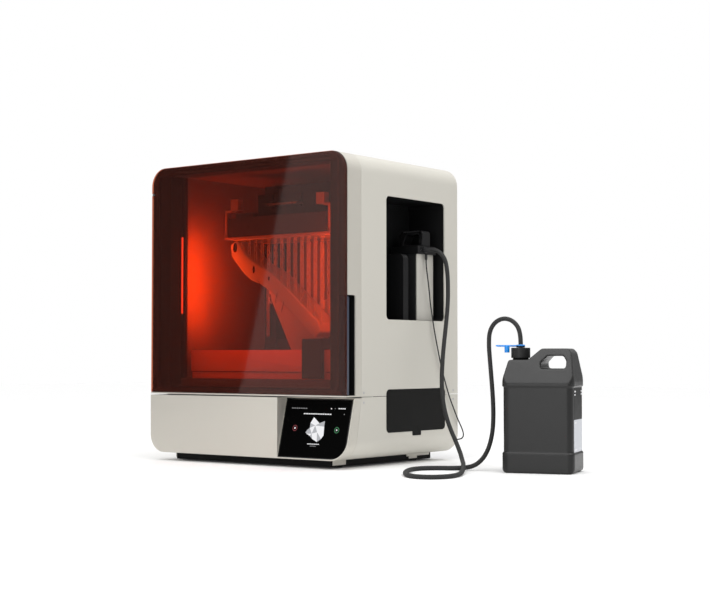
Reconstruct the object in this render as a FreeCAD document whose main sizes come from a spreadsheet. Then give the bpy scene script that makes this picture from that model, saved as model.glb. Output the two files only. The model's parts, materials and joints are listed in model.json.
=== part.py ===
import FreeCAD
import Part

import math
import operator
import os
from types import SimpleNamespace

import Sketcher

# A large resin printer that stands beside its resin supply jug. Lengths are in millimetres.
# Every size below is written in the housing's own frame: X runs right from the left wall,
# Y runs back from the door's front face and Z runs up from the underside of the housing.
# Each sub-part's Placement then moves it to the row frame, whose origin is on the floor
# under the middle of the housing.

SIZES = {
    # housing
    "housing_width": 664.0, "housing_depth": 492.0, "housing_height": 761.0,
    "base_height": 22.0, "corner_radius": 48.0, "skin": 3.0,
    "seam_height": 155.0, "seam_gap": 1.2, "fit_gap": 0.4,
    "frame_front": 8.2, "frame_back": 63.0, "frame_foot": 155.6, "lip_top": 158.9,
    "slant_foot": 37.0, "slant_head": 65.1, "slant_gap": 0.8,
    "panel_top": 152.5, "panel_wall": 4.0,
    "rear_plate_front": 485.0, "rear_plate": 3.0,
    # door
    "door_thickness": 6.0, "door_foot": 159.8, "door_edge_round": 1.6,
    "hinge_x": 3.6, "hinge_y": 3.0, "pin_radius": 1.4, "running_gap": 0.05,
    "hinge_notch_foot": 689.2, "hinge_notch_head": 694.8, "hinge_notch_width": 12.0,
    "grip_left": 641.0, "grip_right": 660.0, "grip_back": 22.0,
    "grip_foot": 161.0, "grip_top": 402.0,
    "recess_left": 638.5, "recess_back": 40.0, "recess_top": 405.0, "recess_round": 6.0,
    # door surround and light pillars
    "surround_front": 9.0, "surround_wall": 3.0, "opening_left": 22.0, "opening_right": 632.0,
    "opening_foot": 176.0, "opening_top": 739.0, "opening_round": 8.0,
    "pillar_front": 14.0, "pillar_back": 56.0, "pillar_width": 36.0, "pillar_right_width": 26.0,
    "led_width": 15.0, "led_depth": 16.0, "led_foot": 371.0, "led_top": 578.0,
    "seal_front": 6.3, "seal_inset": 4.5, "seal_margin": 5.7,
    # screen
    "screen_left": 447.0, "screen_slope": 0.252, "screen_foot": 1.3, "glass_thickness": 3.0,
    "glass_margin": 3.4, "module_left": 470.0, "module_width": 170.0,
    "module_foot": 50.0, "module_top": 138.0, "module_thickness": 7.0,
    # bay on the right side, with its pump unit
    "bay_front": 168.0, "bay_back": 430.0, "bay_foot": 348.0, "bay_top": 661.0,
    "bay_left": 545.0, "bay_round": 12.0, "bay_wall": 3.0,
    "divider_front": 261.0, "divider_back": 283.0, "divider_top": 520.0, "divider_right": 650.0,
    "pump_left": 560.0, "pump_right": 637.0, "pump_front": 336.0, "pump_back": 411.0,
    "pump_top": 524.0, "pump_plate": 3.0, "cover_top": 545.0, "cover_left": 556.0,
    "cover_right": 650.0, "cover_overhang": 3.0,
    "handle_left": 571.0, "handle_right": 649.0, "handle_front": 350.0, "handle_back": 386.0,
    "handle_top": 586.0, "handle_bar": 13.0,
    "fitting_y": 358.0, "fitting_z": 534.0, "fitting_length": 16.0, "fitting_radius": 7.5,
    "gland_y": 371.0, "gland_length": 14.0,
    # side cover below the bay
    "side_cover_foot": 63.0, "side_cover_top": 171.5, "side_cover_proud": 0.8,
    "tab_front": 281.0, "tab_back": 319.0, "tab_foot": 52.0,
    "filter_depth": 52.0, "filter_foot": 70.0, "filter_top": 150.0,
    # screws on both side walls
    "screw_front": 74.0, "screw_back": 470.0, "screw_high": 165.0, "screw_low": 141.0,
    "screw_head_radius": 3.0, "screw_head": 1.5, "screw_shank_radius": 1.5, "screw_length": 7.0,
    # base
    "tray_left": 66.0, "tray_right": 598.0, "tray_front": 30.0, "tray_back": 462.0,
    "foot_pad": 3.4, "foot_radius": 18.0, "foot_x": 98.0, "foot_y": 85.0,
    "bracket": 2.5, "bracket_drop": 14.0,
    # chamber
    "deck_foot": 190.0, "deck_top": 196.0, "chamber_left": 36.0, "chamber_back": 440.0,
    "chamber_top": 745.0, "liner": 3.0, "bay_side": 535.0, "shelf_foot": 337.0,
    # resin tank and mixer
    "tank_left": 69.0, "tank_right": 581.0, "tank_front": 80.0, "tank_back": 338.0,
    "tank_foot": 196.4, "tank_top": 272.0, "tank_wall": 14.0, "tank_floor": 204.0,
    "tank_step": 3.0, "tank_flange": 215.0, "film_left": 140.0, "film_right": 530.0,
    "film_front": 104.0, "film_back": 314.0, "film": 0.5,
    "mixer_left": 475.0, "mixer_right": 537.0, "mixer_front": 62.0, "mixer_top": 300.0,
    "blade_foot": 206.0, "blade_top": 222.0, "blade_back": 320.0, "blade_width": 12.0,
    # Z axis
    "column_left": 106.0, "column_right": 491.0, "column_width": 42.0, "column_front": 345.0,
    "column_depth": 45.0, "column_top": 738.0, "crossbar_front": 350.0, "crossbar_back": 390.0,
    "low_bar_foot": 270.0, "low_bar_top": 305.0, "high_bar_foot": 700.0,
    "rail_width": 12.0, "rail_height": 10.0, "rail_foot": 312.0, "rail_top": 692.0,
    "motor_size": 56.0, "motor_foot": 100.0, "screw_x": 319.5, "screw_y": 370.0,
    "leadscrew_radius": 8.0, "screw_top": 737.0,
    "plate_front": 318.0, "plate_back": 330.0, "plate_left": 106.0, "plate_right": 533.0,
    "plate_foot": 592.0, "plate_top": 672.0, "runner_width": 30.0, "runner_back": 343.0,
    "nut_width": 40.0, "nut_back": 392.0, "nut_foot": 615.0, "nut_top": 650.0,
    "head_left": 235.0, "head_right": 440.0, "head_front": 168.0, "head_foot": 630.0,
    "head_top": 690.0, "lever_left": 288.0, "lever_right": 386.0, "lever_front": 148.0,
    "lever_z": 660.0, "lever_bar": 3.0,
    # build platform
    "platform_left": 164.0, "platform_right": 502.0, "platform_front": 125.0,
    "platform_back": 316.0, "platform_foot": 576.0, "platform_top": 628.0,
    "sheet_left": 152.0, "sheet_right": 514.0, "sheet": 5.0,
    "strip": 6.0, "strip_front": 127.0, "strip_depth": 20.0, "strip_top": 650.0,
    "strip_foot": 577.6, "pivot_z": 581.6, "pivot_radius": 2.0, "arm_length": 20.0,
    "grip_width": 25.0, "grip_height": 29.0, "lug_depth": 7.0,
    # printed part
    "raft": 5.0, "print_front": 145.0, "print_depth": 56.0, "post": 4.0,
    # electronics in the lower housing
    "engine_left": 150.0, "engine_right": 520.0, "engine_front": 110.0, "engine_back": 310.0,
    "engine_foot": 30.0, "engine_top": 188.0, "lcd": 4.6,
    "supply_left": 30.0, "supply_right": 130.0, "supply_front": 330.0, "supply_back": 470.0,
    "supply_foot": 8.0, "supply_top": 58.0, "board": 2.0, "board_foot": 90.0,
    "inlet_left": 540.0, "inlet_width": 28.0, "inlet_foot": 60.0, "inlet_height": 24.0,
    "rocker_left": 578.0, "rocker_width": 14.0, "rocker_height": 22.0,
    "socket_x": 632.0, "socket_z": 30.0, "socket_radius": 6.5,
    "fan_x": 332.0, "fan_z": 610.0, "fan_size": 80.0, "fan_depth": 25.0, "fan_radius": 37.0,
    # supply jug, in its own frame: X along its length, Y across it, Z up from the floor
    "jug_x": 725.0, "jug_y": 22.0, "jug_turn": 17.4, "jug_length": 175.0, "jug_width": 130.0,
    "jug_shoulder": 212.0, "jug_round": 16.0, "jug_wall": 2.5,
    "neck_x": -54.0, "neck_radius": 19.0, "neck_foot": 269.0, "neck_top": 280.0,
    "cap_radius": 23.0, "cap_foot": 273.0, "cap_top": 298.0,
    "jug_handle_top": 296.0, "tube_radius": 3.0,
    # hose and cable
    "hose_diameter": 11.0, "cable_diameter": 3.5,
}

# Routes of the hose and the cable: points chosen by hand, in the row frame.
HOSE_ROUTE = [
    (334.0, 112.0, 556.0), (348.0, 112.0, 556.0), (361.5, 112.7, 551.2), (373.1, 114.0, 541.1),
    (380.5, 116.0, 527.5), (383.0, 120.0, 507.0), (382.0, 126.0, 472.0), (382.0, 126.0, 420.0),
    (384.0, 114.0, 362.0), (386.0, 99.0, 302.0), (389.0, 86.0, 240.0), (397.0, 74.0, 184.0),
    (411.0, 66.0, 137.0), (432.0, 58.0, 96.0), (460.0, 44.0, 62.0), (488.0, 20.0, 38.0),
    (515.0, -12.0, 23.0), (540.0, -46.0, 18.0), (568.0, -87.0, 18.0), (600.0, -137.0, 11.0),
    (630.0, -191.0, 5.6), (655.0, -248.0, 5.6), (658.0, -300.0, 5.6), (626.0, -336.0, 5.6),
    (578.0, -326.0, 5.6), (530.0, -278.0, 5.6), (492.0, -218.0, 5.6), (465.0, -156.0, 5.6),
    (470.0, -114.0, 5.6), (496.0, -88.0, 5.6), (534.0, -68.0, 5.6), (566.0, -45.0, 8.0),
    (582.0, -22.0, 26.0), (590.0, -5.0, 56.0), (595.0, 3.0, 94.0), (596.0, 5.0, 136.0),
    (594.0, 5.0, 182.0), (590.0, 5.0, 228.0), (586.0, 5.0, 270.0), (583.0, 5.0, 306.0),
    (585.0, 5.0, 338.0), (600.0, 5.4, 361.0), (627.0, 5.5, 371.5), (656.0, 5.6, 362.0),
    (673.5, 5.85, 336.5), (673.5, 5.85, 306.0),
]
CABLE_ROUTE = [
    (313.5, 125.0, 532.0), (313.5, 125.0, 516.0), (318.0, 125.0, 488.0), (325.0, 122.0, 452.0),
    (331.0, 119.0, 414.0), (337.5, 119.0, 378.0), (338.5, 128.0, 338.0), (338.5, 142.0, 296.0),
    (338.5, 158.0, 250.0), (338.5, 177.0, 208.0), (338.5, 196.0, 170.0), (338.5, 218.0, 136.0),
    (338.5, 238.0, 107.0), (338.5, 256.0, 85.0), (335.0, 271.0, 67.0), (323.0, 282.0, 55.0),
    (308.0, 279.0, 52.0), (300.0, 263.0, 52.0),
]

SIGNS = {"+": operator.add, "-": operator.sub, "*": operator.mul, "/": operator.truediv}
PLANES = {"XY": ("XY_Plane", 1), "XZ": ("XZ_Plane", -1), "YZ": ("YZ_Plane", 1)}
AXES = {"X": (0, 1, 0, 90), "Y": (1, 0, 0, -90), "Z": (0, 0, 1, 0)}
TOLERANCE = 0.02

doc = FreeCAD.newDocument("ResinPrinter")
nodes = []


# ---- sizes ------------------------------------------------------------------------------
class Dim:
    """A length that knows its value and the sheet's expression for it."""

    def __init__(self, value, text):
        self.value = float(value)
        self.text = text

    def __add__(self, other):
        return combine(self, "+", other)

    def __radd__(self, other):
        return combine(other, "+", self)

    def __sub__(self, other):
        return combine(self, "-", other)

    def __rsub__(self, other):
        return combine(other, "-", self)

    def __mul__(self, other):
        return combine(self, "*", other)

    def __rmul__(self, other):
        return combine(other, "*", self)

    def __truediv__(self, other):
        return combine(self, "/", other)

    def __neg__(self):
        return combine(0, "-", self)


def dim(number):
    """A plain number as a Dim; a Dim as it is."""
    return number if isinstance(number, Dim) else Dim(number, f"{float(number):g}")


def combine(left, sign, right):
    """The sum, difference, product or quotient of two sizes, as a Dim."""
    left, right = dim(left), dim(right)
    return Dim(SIGNS[sign](left.value, right.value), f"({left.text} {sign} {right.text})")


def make_sheet():
    """Write SIZES to a spreadsheet and return its cells as Dims."""
    sheet = doc.addObject("Spreadsheet::Sheet", "Dims")
    for row, (word, value) in enumerate(SIZES.items(), start=1):
        sheet.set(f"A{row}", word)
        sheet.set(f"B{row}", str(value))
        sheet.setAlias(f"B{row}", word)
    doc.recompute()
    return SimpleNamespace(**{word: Dim(value, f"Dims.{word}") for word, value in SIZES.items()})


d = make_sheet()
CORNER = (-d.housing_width / 2, -d.housing_depth / 2, d.base_height)


def bind(feature, prop, length):
    """Bind a property to a size and give it that value at once."""
    feature.setExpression(prop, dim(length).text)


def put(feature, x, y, z):
    """Place a feature at a point, by expressions."""
    for axis, length in zip("xyz", (x, y, z)):
        bind(feature, f"Placement.Base.{axis}", length)


def name_node(feature, name):
    """Make a feature a sub-part: its label, its place and its row in the export."""
    feature.Label = name
    put(feature, *CORNER)
    nodes.append(feature)
    return feature


# ---- outlines ---------------------------------------------------------------------------
class Round:
    """A circle in a sketch."""

    def __init__(self, x, y, radius):
        self.x, self.y, self.radius = dim(x), dim(y), dim(radius)

    def draw(self, sketch):
        """Add the circle with its three dimensions."""
        centre = FreeCAD.Vector(self.x.value, self.y.value, 0)
        normal = FreeCAD.Vector(0, 0, 1)
        circle = sketch.addGeometry(Part.Circle(centre, normal, self.radius.value))
        locate(sketch, circle, 3, self.x, self.y)
        constrain(sketch, "Radius", self.radius, circle)


class Corners:
    """A closed outline of straight edges whose corners may be rounded."""

    def __init__(self, points, radii=None):
        self.points = [(dim(x), dim(y)) for x, y in points]
        self.radii = [dim(radius) for radius in radii or [0] * len(points)]

    def draw(self, sketch):
        """Add the edges, hold every corner point, then round the corners that ask for it."""
        places = [FreeCAD.Vector(x.value, y.value, 0) for x, y in self.points]
        count = len(places)
        edges = [sketch.addGeometry(Part.LineSegment(places[i], places[(i + 1) % count]))
                 for i in range(count)]
        for i, edge in enumerate(edges):
            sketch.addConstraint(
                Sketcher.Constraint("Coincident", edge, 2, edges[(i + 1) % count], 1))
            locate(sketch, edge, 1, *self.points[i])
        for i, radius in enumerate(self.radii):
            if radius.value > 0:
                before = edges[i - 1]
                sketch.fillet(before, 2, radius.value, True, True)
                name_radius(sketch, radius)


def name_radius(sketch, radius):
    """Bind the radius of the newest arc of a sketch."""
    arc = sketch.GeometryCount - 1
    while not isinstance(sketch.Geometry[arc], Part.ArcOfCircle):
        arc -= 1
    constrain(sketch, "Radius", radius, arc)


def box_outline(left, low, right, high, radii=(0, 0, 0, 0)):
    """An upright rectangle; radii run from low left, counter-clockwise."""
    return Corners([(left, low), (right, low), (right, high), (left, high)], radii)


def constrain(sketch, kind, length, *targets):
    """Add a dimension to a sketch and bind it to the sheet."""
    index = sketch.addConstraint(Sketcher.Constraint(kind, *targets, length.value))
    sketch.setExpression(f"Constraints[{index}]", length.text)


def locate(sketch, edge, end, x, y):
    """Hold a point of a sketch at x and y from its origin."""
    for kind, length in (("DistanceX", x), ("DistanceY", y)):
        constrain(sketch, kind, length, -1, 1, edge, end)


# ---- pieces -----------------------------------------------------------------------------
class Piece:
    """A PartDesign body made of pads and cuts on its own origin planes."""

    def __init__(self, name):
        self.body = doc.addObject("PartDesign::Body", name)
        self.name = name

    def sketch(self, plane, at, outlines):
        """A sketch parallel to an origin plane, at a distance along the positive axis."""
        role, side = PLANES[plane]
        sketch = self.body.newObject("Sketcher::SketchObject", f"{self.name}_sketch")
        support = [part for part in self.body.Origin.OriginFeatures if part.Role == role]
        sketch.AttachmentSupport = (support[0], [""])
        sketch.MapMode = "FlatFace"
        bind(sketch, "AttachmentOffset.Base.z", side * dim(at))
        for outline in outlines:
            outline.draw(sketch)
        return sketch

    def pad(self, plane, start, end, *outlines):
        """Add material between two distances along the plane's axis."""
        return self.feature("PartDesign::Pad", plane, start, end, outlines)

    def cut(self, plane, start, end, *outlines):
        """Remove material between two distances along the plane's axis."""
        return self.feature("PartDesign::Pocket", plane, start, end, outlines)

    def feature(self, kind, plane, start, end, outlines):
        """A pad or a pocket that runs towards the positive axis."""
        adds = kind.endswith("Pad")
        sketch = self.sketch(plane, start, outlines)
        feature = self.body.newObject(kind, f"{self.name}_step")
        feature.Profile = sketch
        bind(feature, "Length", dim(end) - start)
        feature.Reversed = (PLANES[plane][1] < 0) == adds
        return self

    def fillet(self, radius, chosen):
        """Round the edges of the solid so far that a test accepts."""
        doc.recompute()
        tip = self.body.Tip
        names = [f"Edge{i}" for i, edge in enumerate(tip.Shape.Edges, start=1) if chosen(edge)]
        feature = self.body.newObject("PartDesign::Fillet", f"{self.name}_round")
        feature.Base = (tip, names)
        bind(feature, "Radius", radius)
        return self

    def node(self):
        """Finish the piece as a sub-part."""
        return name_node(self.body, self.name)


def block(name, low, high):
    """A box between two corners."""
    box = doc.addObject("Part::Box", name)
    put(box, *low)
    for prop, near, far in zip(("Length", "Width", "Height"), low, high):
        bind(box, prop, dim(far) - near)
    return box


def rod(name, axis, centre, radius, length):
    """A cylinder that starts at a point and runs along a positive axis."""
    cylinder = doc.addObject("Part::Cylinder", name)
    turn = AXES[axis]
    cylinder.Placement.Rotation = FreeCAD.Rotation(FreeCAD.Vector(*turn[:3]), turn[3])
    put(cylinder, *centre)
    bind(cylinder, "Radius", radius)
    bind(cylinder, "Height", length)
    return cylinder


def fused(name, parts):
    """One solid from several."""
    union = doc.addObject("Part::MultiFuse", name)
    union.Shapes = parts
    union.Refine = True
    return union


def carved(name, base, tools):
    """A solid with others taken away from it."""
    cut = doc.addObject("Part::Cut", name)
    cut.Base = base
    cut.Tool = tools[0] if len(tools) == 1 else fused(f"{name}_tools", tools)
    cut.Refine = True
    return cut


def grouped(name, parts):
    """Separate solids that share a node."""
    group = doc.addObject("Part::Compound", name)
    group.Links = parts
    return name_node(group, name)


def both_sides(make):
    """A piece on the left wall and its twin on the right wall."""
    return [make("left", lambda x: x), make("right", lambda x: d.housing_width - x)]


def span(first, second):
    """Two positions in rising order."""
    first, second = dim(first), dim(second)
    return (first, second) if first.value < second.value else (second, first)


# ---- housing ----------------------------------------------------------------------------
def housing_outline(inset, low, high, foot_round, head_round):
    """The housing's front outline, set in from its skin."""
    foot = d.corner_radius - inset if foot_round else 0
    head = d.corner_radius - inset if head_round else 0
    return box_outline(inset, low, d.housing_width - inset, high, (foot, foot, head, head))


def side_opening(grow):
    """The side cover's rounded outline, grown by a gap."""
    return box_outline(d.bay_front - grow, d.side_cover_foot - grow, d.bay_back + grow,
                       d.side_cover_top + grow, [d.bay_round] * 4)


def tab_outline(grow):
    """The pull tab under the side cover, grown by a gap."""
    return box_outline(d.tab_front - grow, d.tab_foot - grow, d.tab_back + grow,
                       d.side_cover_foot + 5, (3, 3, 0, 0))


def drill_side_screws(piece, height):
    """Countersunk screw holes through both side walls."""
    holes = [Round(y, height, d.screw_shank_radius + 0.2) for y in (d.screw_front, d.screw_back)]
    seats = [Round(y, height, d.screw_head_radius + 0.2) for y in (d.screw_front, d.screw_back)]
    piece.cut("YZ", -1, d.housing_width + 1, *holes)
    piece.cut("YZ", -1, d.screw_head + 0.1, *seats)
    piece.cut("YZ", d.housing_width - d.screw_head - 0.1, d.housing_width + 1, *seats)


def upper_shell():
    """The sheet wrap over the top and both sides, with the bay's opening on the right."""
    foot = d.seam_height + d.seam_gap / 2
    inside = d.housing_height - d.skin
    piece = Piece("upper_shell")
    piece.pad("XZ", d.frame_back + d.fit_gap, d.housing_depth,
              housing_outline(0, foot, d.housing_height, False, True))
    piece.cut("XZ", d.frame_back, d.housing_depth + 1,
              housing_outline(d.skin, foot - 5, inside, False, True))
    piece.cut("YZ", d.housing_width - 10, d.housing_width + 10,
              box_outline(d.bay_front, d.bay_foot, d.bay_back, d.bay_top, [d.bay_round] * 4))
    piece.cut("YZ", d.housing_width - 10, d.housing_width + 10, side_opening(d.fit_gap))
    drill_side_screws(piece, d.screw_high)
    piece.node()


def lower_shell():
    """The tray-shaped lower housing, cut back along the slanted front seam."""
    head = d.seam_height - d.seam_gap / 2
    piece = Piece("lower_shell")
    piece.pad("XZ", 0, d.housing_depth, housing_outline(0, 0, head, True, False))
    piece.cut("XZ", -1, d.housing_depth + 1,
              housing_outline(d.skin, d.skin, head + 5, True, False))
    piece.cut("YZ", -1, d.housing_width + 1,
              Corners([(-1, -1), (d.slant_foot, -1), (d.slant_head, head + 1), (-1, head + 1)]))
    piece.cut("YZ", d.housing_width - 10, d.housing_width + 10, side_opening(d.fit_gap))
    piece.cut("YZ", d.housing_width - 10, d.housing_width + 10, tab_outline(d.fit_gap))
    drill_side_screws(piece, d.screw_low)
    piece.node()


def behind_screen(offset, height):
    """How far back the screen's slanted plane lies at a height."""
    return d.screen_slope * (dim(height) - d.screen_foot) + offset


def screen_slab(front, back, low, high):
    """The side view of a slab that follows the screen's plane."""
    return Corners([(behind_screen(front, low), low), (behind_screen(back, low), low),
                    (behind_screen(back, high), high), (behind_screen(front, high), high)])


def screen_outline(gap):
    """The front view of the screen's glass, grown by a gap."""
    low = d.glass_margin - gap
    right = d.housing_width - d.glass_margin + gap
    corner = d.corner_radius - d.glass_margin + gap
    return box_outline(d.screen_left + 0.8 - gap, low, right, d.panel_top - 2 + gap,
                       (0, corner, 0, 0))


def lower_front_panel():
    """The moulded front below the door: flush on the left, slanted round the screen."""
    inside = d.panel_top - d.skin
    wide = d.housing_width + 1
    piece = Piece("lower_front_moulding")
    piece.pad("XZ", 0, d.slant_head + 2,
              box_outline(0, 0, d.housing_width, d.panel_top,
                          (d.corner_radius, d.corner_radius, 2, 2)))
    rounds = d.corner_radius - d.skin
    piece.cut("XZ", d.panel_wall, d.slant_head + 5,
              box_outline(d.skin, d.skin, d.screen_left - d.skin, inside, (rounds, 0, 0, 0)))
    piece.cut("YZ", d.screen_left + d.skin, d.housing_width - d.corner_radius,
              screen_slab(6, 90, d.skin, inside))
    piece.cut("YZ", d.housing_width - d.corner_radius - 1, d.housing_width - d.skin,
              screen_slab(6, 90, d.corner_radius, inside))
    piece.cut("YZ", -1, wide,
              Corners([(d.slant_foot - d.slant_gap, -1), (120, -1), (120, d.panel_top + 1),
                       (d.slant_head - d.slant_gap, d.panel_top + 1)]))
    piece.cut("YZ", d.screen_left, wide, screen_slab(-60, 0, d.screen_foot, d.panel_top + 1))
    piece.cut("YZ", d.module_left - 2, d.module_left + d.module_width + 2,
              screen_slab(-2, 9, d.module_foot - 2, d.module_top + 2))
    seat = Piece("glass_seat")
    seat.pad("XZ", -1, d.slant_head, screen_outline(0.2))
    seat.cut("YZ", 0, wide, screen_slab(d.glass_thickness + 0.2, 120, -1, d.panel_top + 1))
    name_node(carved("lower_front_panel", piece.body, [seat.body]), "lower_front_panel")


def display():
    """The slanted cover glass and the display module behind it."""
    glass = Piece("display_glass")
    glass.pad("XZ", 0, d.slant_head, screen_outline(0))
    glass.cut("YZ", 0, d.housing_width, screen_slab(-60, 0.1, -1, d.panel_top + 1))
    glass.cut("YZ", 0, d.housing_width,
              screen_slab(d.glass_thickness, 120, -1, d.panel_top + 1))
    glass.node()
    module = Piece("display_module")
    module.pad("YZ", d.module_left, d.module_left + d.module_width,
               screen_slab(d.glass_thickness + 0.3, d.glass_thickness + d.module_thickness,
                           d.module_foot, d.module_top))
    module.node()


def front_frame():
    """The moulded frame behind the door, open at the door grip on the right."""
    inside = d.housing_height - d.skin
    piece = Piece("front_frame")
    piece.pad("XZ", d.frame_front, d.frame_back,
              housing_outline(0, d.frame_foot, d.housing_height, False, True))
    piece.pad("XZ", 0.6, d.frame_front,
              box_outline(0, d.frame_foot, d.housing_width, d.lip_top))
    piece.cut("XZ", -1, d.frame_back + 1,
              housing_outline(d.skin, d.lip_top + 0.1, inside, False, True))
    piece.cut("YZ", d.housing_width - 10, d.housing_width + 10,
              box_outline(-1, d.lip_top + 0.1, d.recess_back, d.recess_top,
                          (0, 0, d.recess_round, 0)))
    piece.cut("XY", d.lip_top - 2.4, d.lip_top + 1, Round(d.hinge_x, d.hinge_y, d.pin_radius))
    piece.node()


def door_surround():
    """The dark inner frame: flange, tunnel, light pillars and the grip recess."""
    edge = d.skin + 0.3
    right, top = d.housing_width - edge, d.housing_height - edge
    head = d.corner_radius - edge
    wall = d.surround_wall
    low, high = d.opening_foot, d.opening_top
    piece = Piece("door_surround")
    piece.pad("XZ", d.surround_front, d.surround_front + 4,
              box_outline(edge, d.lip_top + 0.5, right, top, (0, 0, head, head)))
    piece.pad("XZ", d.surround_front, d.frame_back,
              box_outline(d.opening_left - wall, low - wall, d.opening_right + wall, high + wall,
                          [d.opening_round + wall] * 4))
    piece.pad("XZ", d.surround_front, d.recess_back + 3,
              box_outline(d.recess_left - 2.5, d.lip_top + 0.5, right, d.recess_top + 3))
    piece.cut("XZ", 0, d.frame_back + 1,
              box_outline(d.opening_left, low, d.opening_right, high, [d.opening_round] * 4))
    piece.pad("XZ", d.pillar_front, d.pillar_back,
              box_outline(d.opening_left - 1, low - 1, d.opening_left + d.pillar_width, high + 1),
              box_outline(d.opening_right - d.pillar_right_width, low - 1,
                          d.opening_right + 1, high + 1))
    piece.cut("YZ", d.recess_left, d.housing_width + 1,
              box_outline(-1, d.lip_top, d.recess_back, d.recess_top,
                          (0, 0, d.recess_round, 0)))
    piece.cut("XZ", 0, d.frame_back, hinge_leaf_outline(0.4))
    piece.node()


def hinge_leaf_outline(grow):
    """The front view of the upper hinge's leaf, grown by a gap."""
    middle = (d.hinge_notch_foot + d.hinge_notch_head) / 2
    return box_outline(d.skin + 0.1 - grow, middle - 12 - grow, d.skin + 4.5 + grow,
                       middle + 12 + grow)


def door_seal():
    """The soft gasket round the opening."""
    inset, margin = d.seal_inset, d.seal_margin
    left, right = d.opening_left - inset, d.opening_right + inset
    low, high = d.opening_foot - inset, d.opening_top + inset
    piece = Piece("door_seal")
    piece.pad("XZ", d.seal_front, d.surround_front,
              box_outline(left - 3, low - 3, right + 1.4, high + 3, [margin + 8] * 4))
    piece.cut("XZ", 0, d.surround_front + 1,
              box_outline(left + 1, low + 1, right - 3, high - 1, [margin + 4] * 4))
    piece.node()


# ---- door -------------------------------------------------------------------------------
def door_panel():
    """The clear tinted door with rounded top corners and bores for its two pivots."""
    def outer(edge):
        box = edge.BoundBox
        return box.YLength < TOLERANCE and box.YMin < TOLERANCE
    piece = Piece("door_panel")
    piece.pad("XZ", 0, d.door_thickness,
              housing_outline(0, d.door_foot, d.housing_height, False, True))
    piece.fillet(d.door_edge_round, outer)
    piece.cut("XZ", -1, d.door_thickness + 1,
              box_outline(-1, d.hinge_notch_foot, d.hinge_notch_width, d.hinge_notch_head))
    bore = Round(d.hinge_x, d.hinge_y, d.pin_radius + d.running_gap)
    piece.cut("XY", d.door_foot - 1, d.door_foot + 9, bore)
    piece.cut("XY", d.hinge_notch_foot - 7, d.hinge_notch_head + 7, bore)
    piece.node()


def door_grip():
    """The dark bar on the back of the door that the fingers pull."""
    def corner(edge):
        box = edge.BoundBox
        return box.ZLength > 100 and box.YMin > 10
    piece = Piece("door_grip")
    piece.pad("XZ", d.door_thickness, d.grip_back,
              box_outline(d.grip_left, d.grip_foot, d.grip_right, d.grip_top, (0, 0, 4, 0)))
    piece.fillet(4, corner)
    piece.node()


def door_hinges():
    """The lower pivot pin and the upper leaf with its pin."""
    middle = (d.hinge_notch_foot + d.hinge_notch_head) / 2
    pin = (d.hinge_x, d.hinge_y)
    lower = rod("lower_pivot", "Z", (*pin, d.lip_top - 2.4), d.pin_radius, 9)
    upper = fused("upper_pivot", [
        block("pivot_tongue", (1, 1.2, middle - 2), (d.skin + 4.5, 7.9, middle + 2)),
        block("pivot_neck", (d.skin + 0.1, 7, middle - 2),
              (d.skin + 4.5, d.surround_front + 1, middle + 2)),
        block("pivot_leaf", (d.skin + 0.1, d.surround_front, middle - 12),
              (d.skin + 4.5, d.recess_back, middle + 12)),
        rod("pivot_pin", "Z", (*pin, middle - 9), d.pin_radius, 18)])
    grouped("door_hinges", [lower, upper])


# ---- rear, base and side ----------------------------------------------------------------
def rear_panels():
    """The two rear plates with the fan grille and the sockets' cut-outs."""
    edge = d.skin + 0.4
    back = d.rear_plate_front + d.rear_plate
    upper = Piece("upper_rear_panel")
    upper.pad("XZ", d.rear_plate_front, back,
              housing_outline(edge, d.seam_height + 3, d.housing_height - edge, False, True))
    holes = [Round(d.fan_x, d.fan_z, 3)]
    for ring in range(1, 5):
        for step in range(6 * ring):
            turn = 2 * math.pi * step / (6 * ring)
            holes.append(Round(d.fan_x + 8 * ring * math.cos(turn),
                               d.fan_z + 8 * ring * math.sin(turn), 3))
    upper.cut("XZ", d.rear_plate_front - 1, back + 1, *holes)
    upper.node()
    lower = Piece("lower_rear_panel")
    lower.pad("XZ", d.rear_plate_front, back,
              housing_outline(edge, edge, d.seam_height - 1.5, True, False))
    lower.cut("XZ", d.rear_plate_front - 1, back + 1,
              box_outline(d.inlet_left, d.inlet_foot, d.inlet_left + d.inlet_width,
                          d.inlet_foot + d.inlet_height),
              box_outline(d.rocker_left - 1, d.inlet_foot, d.rocker_left + d.rocker_width + 1,
                          d.inlet_foot + d.inlet_height),
              Round(d.socket_x, d.socket_z, d.socket_radius))
    lower.node()


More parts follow.
